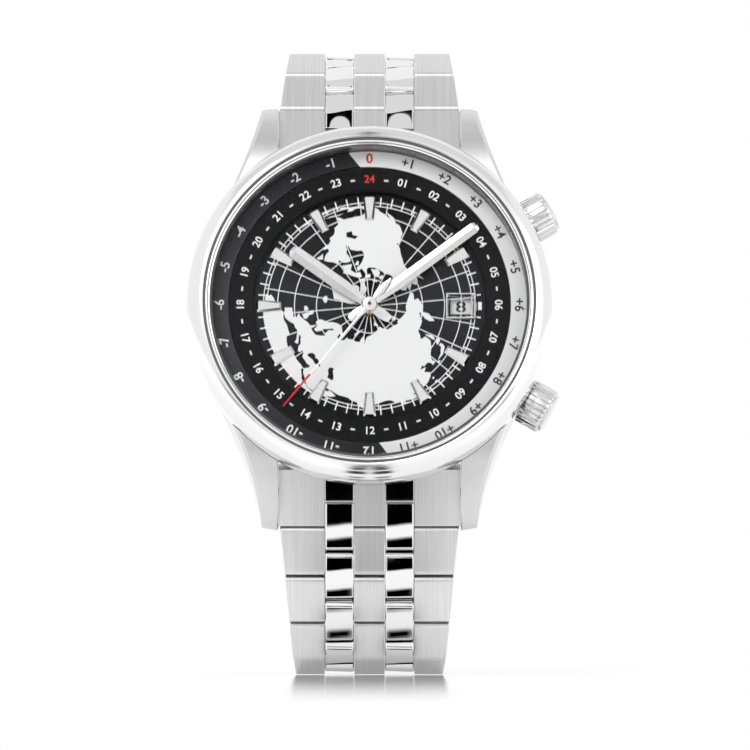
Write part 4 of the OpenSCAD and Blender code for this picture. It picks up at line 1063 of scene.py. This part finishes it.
def add_blade(bm, stations, low, edge, place):
    """A bevelled blade along y: each station gives its distance, its half width and its ridge height."""
    made = skin(bm, [[bm.verts.new(p) for p in (
        (-w, y, low), (-w, y, edge), (0, y, max(edge + 0.004, ridge)), (w, y, edge), (w, y, low))]
        for y, w, ridge in stations])
    bmesh.ops.transform(bm, matrix=place, verts=made)


def tip_stations(length, w, ridge, edge, back=0.75, steps=7):
    """Stations that round a blade's end."""
    out = []
    for i in range(steps + 1):
        a = math.radians(90 * i / steps)
        part = max(0.06, math.cos(a))
        out.append((length - back + back * math.sin(a), w * part, edge + (ridge - edge) * part))
    return out


HAND_EDGE = 0.07
HAND_RIDGE = 0.3
HAND_TAIL = 2.9
HAND_STEP = 3.6


def add_hand(bm, place, length, near_w, far_w, tail_w, bore, hub_r):
    """A baton with a ridge: a narrow root, a broad bright blade beyond the step, and a tail."""
    shape = [(-HAND_TAIL, tail_w * 0.55, 0.6), (-HAND_TAIL + 0.3, tail_w * 0.8, 0.8),
             (-HAND_TAIL * 0.6, tail_w, 0.9), (-0.6, near_w, 0.9), (0.8, near_w, 0.85),
             (HAND_STEP - 0.5, far_w * 0.92, 0.85), (HAND_STEP, far_w, 1)]
    stations = [(y, w, HAND_RIDGE * share) for y, w, share in shape]
    add_blade(bm, stations + tip_stations(length, far_w * 0.97, HAND_RIDGE, HAND_EDGE), 0, HAND_EDGE, place)
    hub = [(bore, 0.0), (hub_r, 0.0), (hub_r, 0.14), (hub_r - 0.06, 0.2), (bore, 0.22)]
    add_turned(bm, hub, 48, place)


for name, wheel, node, angle, z, *sizes in (
        ("hour_baton", "hour_wheel", "hour_hand", 305.9, HOUR_Z, 11.2, 0.52, 0.8, 0.62, 0.76, 1.0),
        ("minute_baton", "cannon_pinion", "minute_hand", 53.1, MINUTE_Z, 15.6, 0.45, 0.66, 0.56, 0.51, 0.92)):
    dress(make_piece(name, (add_hand, hand_place(angle, z), *sizes), sharp=12), hand_steel, wheel, node)

seconds = hand_place(219.5, SECONDS_Z)
lance = [(-3.9, 0.05, 0.08), (-3.2, 0.24, 0.12), (-2.2, 0.42, 0.13), (-1.4, 0.34, 0.12), (-0.5, 0.13, 0.1),
         (0.5, 0.13, 0.1), (10.8, 0.085, 0.1)]
boss = [(0, 0.02), (0.85, 0.02), (0.85, 0.14), (0.77, 0.22), (0.24, 0.25), (0.2, 0.2), (0, 0.2)]
red_tip = [(10.75, 0.12, 0.12), (15.5, 0.1, 0.12), (15.6, 0.06, 0.1)]
axle = [(0, 0.19), (0.17, 0.19), (0.17, 0.23), (0, 0.24)]
silver = make_piece("seconds_lance", (add_blade, lance, 0, 0.05, seconds), (add_turned, boss, 64, seconds),
                    sharp=20)
dress(silver, hand_steel, "fourth_wheel", "seconds_hand")
tip = make_piece("seconds_tip", (add_blade, red_tip, -0.01, 0.06, seconds), sharp=20)
dress(tip, hand_red, "fourth_wheel")
dress(make_piece("axle_end", (add_turned, axle, 32, seconds), sharp=20), print_black, "fourth_wheel")


# Date

DATE_SHOWN = 8


def add_dates(bm):
    """The days of the month round their ring, single figures drawn larger and wider."""
    for i in range(31):
        day = (DATE_SHOWN - 1 + i) % 31 + 1
        size, wide = (1.8, 1.4) if day < 10 else (1.6, 1.0)
        mesh = lettering(str(day), size, 0.03)
        mesh.transform(spin(i * 360 / 31) @ shift(DATE_X, 0, DATE_WORDS_Z) @ Matrix.Diagonal((wide, 1, 1, 1)))
        bm.from_mesh(mesh)
        bpy.data.meshes.remove(mesh)


dress(make_piece("date_figures", (add_dates,), sharp=20), print_black, "date_ring")


# End links

END_BACK = -5.4
END_LOW_R = 1.3
END_CLEAR = 0.15


def add_end_links(bm, columns, end, r):
    """Columns of one kind at both ends of the case, from their middles and widths, not yet cut by it."""
    top = LINK_T / 2
    outline = arc(end - r, top - r, r, 0, 90, 6) + [(END_BACK, top), (END_BACK, -top)]
    outline += arc(end - END_LOW_R, END_LOW_R - top, END_LOW_R, 270, 360, 10)
    for turn in (0, 180):
        place = spin(turn) @ shift(0, *END_PIN) @ spin(-END_SLOPE, "X") @ spin(90)
        for y, w in columns:
            add_prism(bm, outline, 0, w, place @ shift(0, y + w / 2, 0) @ spin(90, "X"))
    round_edges(bm, 0.06, 2, 60)


end_outer = END_W / 2 - OUTER_IN
wall = [(0, -6), (FLANK[0][0] + END_CLEAR, -6)] + [(r + END_CLEAR, z) for r, z in FLANK] + [(0, 20)]
for finish, columns, end, r, material in (
        ("brushed", [(0, CENTRE_W)] + [(s * (OUTER_IN + end_outer / 2), end_outer) for s in (-1, 1)],
         PITCH / 4 - ROW_GAP / 2, 0.32, link_brushed),
        ("polished", [(s * POLISHED_Y, POLISHED_W) for s in (-1, 1)],
         -PITCH / 4 - ROW_GAP / 2, 0.06, mirror_steel)):
    name = "end_links_" + finish
    piece = make_piece(name, (add_end_links, columns, end, r))
    cut(piece, make_piece(name + "_cutter", (add_turned, wall)), 12)
    dress(piece, material, "case", "end_links", slot=finish + "_steel")


# Finishes of the frame's own solids

def paint(material, *names):
    for name in names:
        mesh = nodes[name].data
        if not mesh.materials:
            mesh.materials.append(material)
        for i in range(len(mesh.materials)):
            mesh.materials[i] = material


paint(sapphire, "crystal", "case_back_window")
paint(nylon, "crystal_gasket")
paint(rubber, "case_back_gasket")
paint(case_satin, "case_back")
paint(print_white, "date_ring")
paint(ring_black, "city_ring")
paint(bright_steel, "city_crown", "winding_stem", "winding_clutch", "crown_tubes", "spring_bars",
      "cannon_pinion", "clasp_button_left", "clasp_button_right")
paint(plate_rhodium, "main_plate", "movement_ring")
paint(bridge_stripes, "train_bridge", "balance_cock")
paint(rotor_stripes, "rotor")
paint(gilt, "barrel", "centre_wheel", "third_wheel", "fourth_wheel", "minute_wheel", "hour_wheel",
      "balance_wheel")
paint(train_steel, "escape_wheel", "pallet_fork")
paint(blued_steel, "hairspring")
paint(ruby, "jewels")
paint(link_brushed, "clasp_cover", "clasp_blade_long", "clasp_blade_short")


# Studio: the camera in the watch's millimetres, lamps, cards and floor in metres

FRAME_PX = 750
BEZEL_PX = 365.6
AXIS_PX = (369.5, 303.8)
LENS_AWAY = 3000.0
SENSOR = 36.0


def make_camera():
    """A long lens level with the watch, whose frame puts the bezel and the hands' axis where they belong."""
    mm_per_px = CASE_R * 2 / BEZEL_PX
    across, down = (FRAME_PX / 2 - place for place in AXIS_PX)
    dial = STAND @ Vector((0, 0, SECONDS_Z))
    camera = bpy.data.cameras.new("camera")
    camera.sensor_width = SENSOR
    camera.lens = SENSOR * LENS_AWAY / (FRAME_PX * mm_per_px)
    camera.clip_end = 20.0
    item = bpy.data.objects.new("camera", camera)
    bpy.context.scene.collection.objects.link(item)
    item.location = Vector((across * mm_per_px, dial.y - LENS_AWAY, dial.z - down * mm_per_px)) * MM
    item.rotation_euler = (math.pi / 2, 0, 0)
    bpy.context.scene.camera = item


def area_lamp(name, size, power, where):
    """A square or oblong lamp that looks at the watch."""
    lamp = bpy.data.lights.new(name, "AREA")
    lamp.shape = "RECTANGLE"
    lamp.size, lamp.size_y = size
    lamp.energy = power
    item = bpy.data.objects.new(name, lamp)
    bpy.context.scene.collection.objects.link(item)
    item.location = where
    item.rotation_euler = (-Vector(where)).to_track_quat("-Z", "Y").to_euler()


def make_world():
    """White where the camera, a mirror or glass sees the room, half as strong where it lights the watch."""
    world = bpy.data.worlds.new("studio")
    bpy.context.scene.world = world
    world.use_nodes = True
    tree = world.node_tree
    path = add(tree, "ShaderNodeLightPath").outputs
    seen = calc(tree, "MAXIMUM", path["Is Camera Ray"], path["Is Glossy Ray"])
    seen = calc(tree, "MAXIMUM", seen, path["Is Transmission Ray"])
    level = add(tree, "ShaderNodeMapRange", {"Value": seen, "To Min": 0.5, "To Max": 1.0}).outputs[0]
    feed(tree, tree.nodes["Background"], {"Color": (1, 1, 1, 1), "Strength": level})


FLOOR = cad_box[0].z - 0.00002
FLOOR_HALF = 4.0
# The floor's own light: what reflections add, and what is always there
FLOOR_LIFT = 0.3
EYE_LIFT = 0.12
# Where the floor is plain white to the camera, aside and in front
WHITE_FROM = (0.05, 0.27)
# Dark bands on the floor in front of the polished columns: start, end, inner and outer side
FLOOR_BANDS = [(-0.1265, -0.0365, 0.0010, 0.0066), (-0.0315, -0.0195, 0.0010, 0.0066),
               (-0.0098, -0.0056, 0.0015, 0.0055), (-0.0007, 0.0014, 0.0018, 0.0051)]
# Behind this line the floor is dark to reflections of reflections
MIRRORED_DARK_FROM = -0.005


def plain_stage(name, verts, faces, material):
    mesh = bpy.data.meshes.new(name)
    mesh.from_pydata(verts, [], faces)
    item = bpy.data.objects.new(name, mesh)
    bpy.context.scene.collection.objects.link(item)
    mesh.materials.append(material)
    return item


def soft_step(tree, value, start, end, **ends):
    """A soft step from nothing to one, or between other ends."""
    given = {"Value": value, "From Min": start, "From Max": end}
    given.update({label.replace("_", " "): number for label, number in ends.items()})
    return add(tree, "ShaderNodeMapRange", given, interpolation_type="SMOOTHSTEP").outputs[0]


def between(tree, value, low, high, soft=0.0008):
    """One where a value lies between two limits, nothing elsewhere."""
    return calc(tree, "MULTIPLY", soft_step(tree, value, low - soft, low + soft),
                soft_step(tree, value, high - soft, high + soft, To_Min=1.0, To_Max=0.0))


def make_floor():
    """A pale glossy floor, white to the camera, with dark bands that only the polished metal sees."""
    material, tree, shader = new_material("floor_white", grey(0.9), 0.0, 0.12)
    where = add(tree, "ShaderNodeTexCoord").outputs["Object"]
    path = add(tree, "ShaderNodeLightPath").outputs
    lift = calc(tree, "MULTIPLY_ADD", path["Is Glossy Ray"], FLOOR_LIFT, EYE_LIFT)
    feed(tree, shader, {"Emission Color": (1, 1, 1, 1), "Emission Strength": lift})
    parts = add(tree, "ShaderNodeSeparateXYZ", {0: where}).outputs
    aside = calc(tree, "ABSOLUTE", parts["X"])
    again = calc(tree, "GREATER_THAN", path["Ray Depth"], 1.5)
    dark = calc(tree, "MULTIPLY", again, calc(tree, "GREATER_THAN", parts["Y"], MIRRORED_DARK_FROM))
    for near, far, inner, outer in FLOOR_BANDS:
        along, across = between(tree, parts["Y"], near, far), between(tree, aside, inner, outer)
        dark = calc(tree, "MAXIMUM", dark, calc(tree, "MULTIPLY", along, across))
    black = add(tree, "ShaderNodeEmission", {"Strength": 0.0}).outputs[0]
    hide = calc(tree, "MULTIPLY", dark, path["Is Glossy Ray"])
    mirrored = add(tree, "ShaderNodeMixShader", {0: hide, 1: shader.outputs[0], 2: black}).outputs[0]
    stretch = {0: where, 1: (1 / WHITE_FROM[0], 1 / WHITE_FROM[1], 0)}
    spread = add(tree, "ShaderNodeVectorMath", stretch, operation="MULTIPLY").outputs[0]
    apart = add(tree, "ShaderNodeVectorMath", {0: spread}, operation="LENGTH").outputs["Value"]
    to_eye = calc(tree, "MULTIPLY", soft_step(tree, apart, 0.1, 1.0), path["Is Camera Ray"])
    white = add(tree, "ShaderNodeEmission").outputs[0]
    seen = add(tree, "ShaderNodeMixShader", {0: to_eye, 1: mirrored, 2: white}).outputs[0]
    feed(tree, tree.nodes["Material Output"], {"Surface": seen})
    corners = [(x * FLOOR_HALF, y * FLOOR_HALF, FLOOR) for x, y in ((-1, -1), (1, -1), (1, 1), (-1, 1))]
    plain_stage("floor", corners, [(0, 1, 2, 3)], material)


def arc_flag(name, low, high, half, tone=0.0, r=0.55, steps=8):
    """A card bent over the watch between two heights in degrees, 0 to the camera and 90 straight up.

    Only reflections show it, in its tone."""
    verts = []
    for i in range(steps + 1):
        a = math.radians(low + (high - low) * i / steps)
        verts += [(x, -r * math.cos(a), r * math.sin(a)) for x in (-half, half)]
    faces = [(2 * i, 2 * i + 1, 2 * i + 3, 2 * i + 2) for i in range(steps)]
    material, tree, shader = new_material("flag_dark", grey(0.0), 0.0, 1.0)
    feed(tree, shader, {"Specular IOR Level": 0.0, "Emission Color": (1, 1, 1, 1), "Emission Strength": tone})
    card = plain_stage(name, verts, faces, material)
    card.visible_camera = False
    card.visible_diffuse = False
    card.visible_shadow = False
    card.visible_transmission = False
    card.visible_volume_scatter = False


make_camera()
make_world()
make_floor()
area_lamp("key", (0.5, 0.5), 2.2, (-0.3, -0.6, 0.55))
area_lamp("fill", (0.4, 0.6), 0.9, (0.55, -0.45, 0.2))
arc_flag("flag_over", 60, 86, 0.014)
arc_flag("flag_top", 64, 116, 0.5, 0.8, 0.57)
arc_flag("flag_front", -8, 2, 0.5, 0.3)

scene = bpy.context.scene
scene.view_settings.view_transform = "Standard"
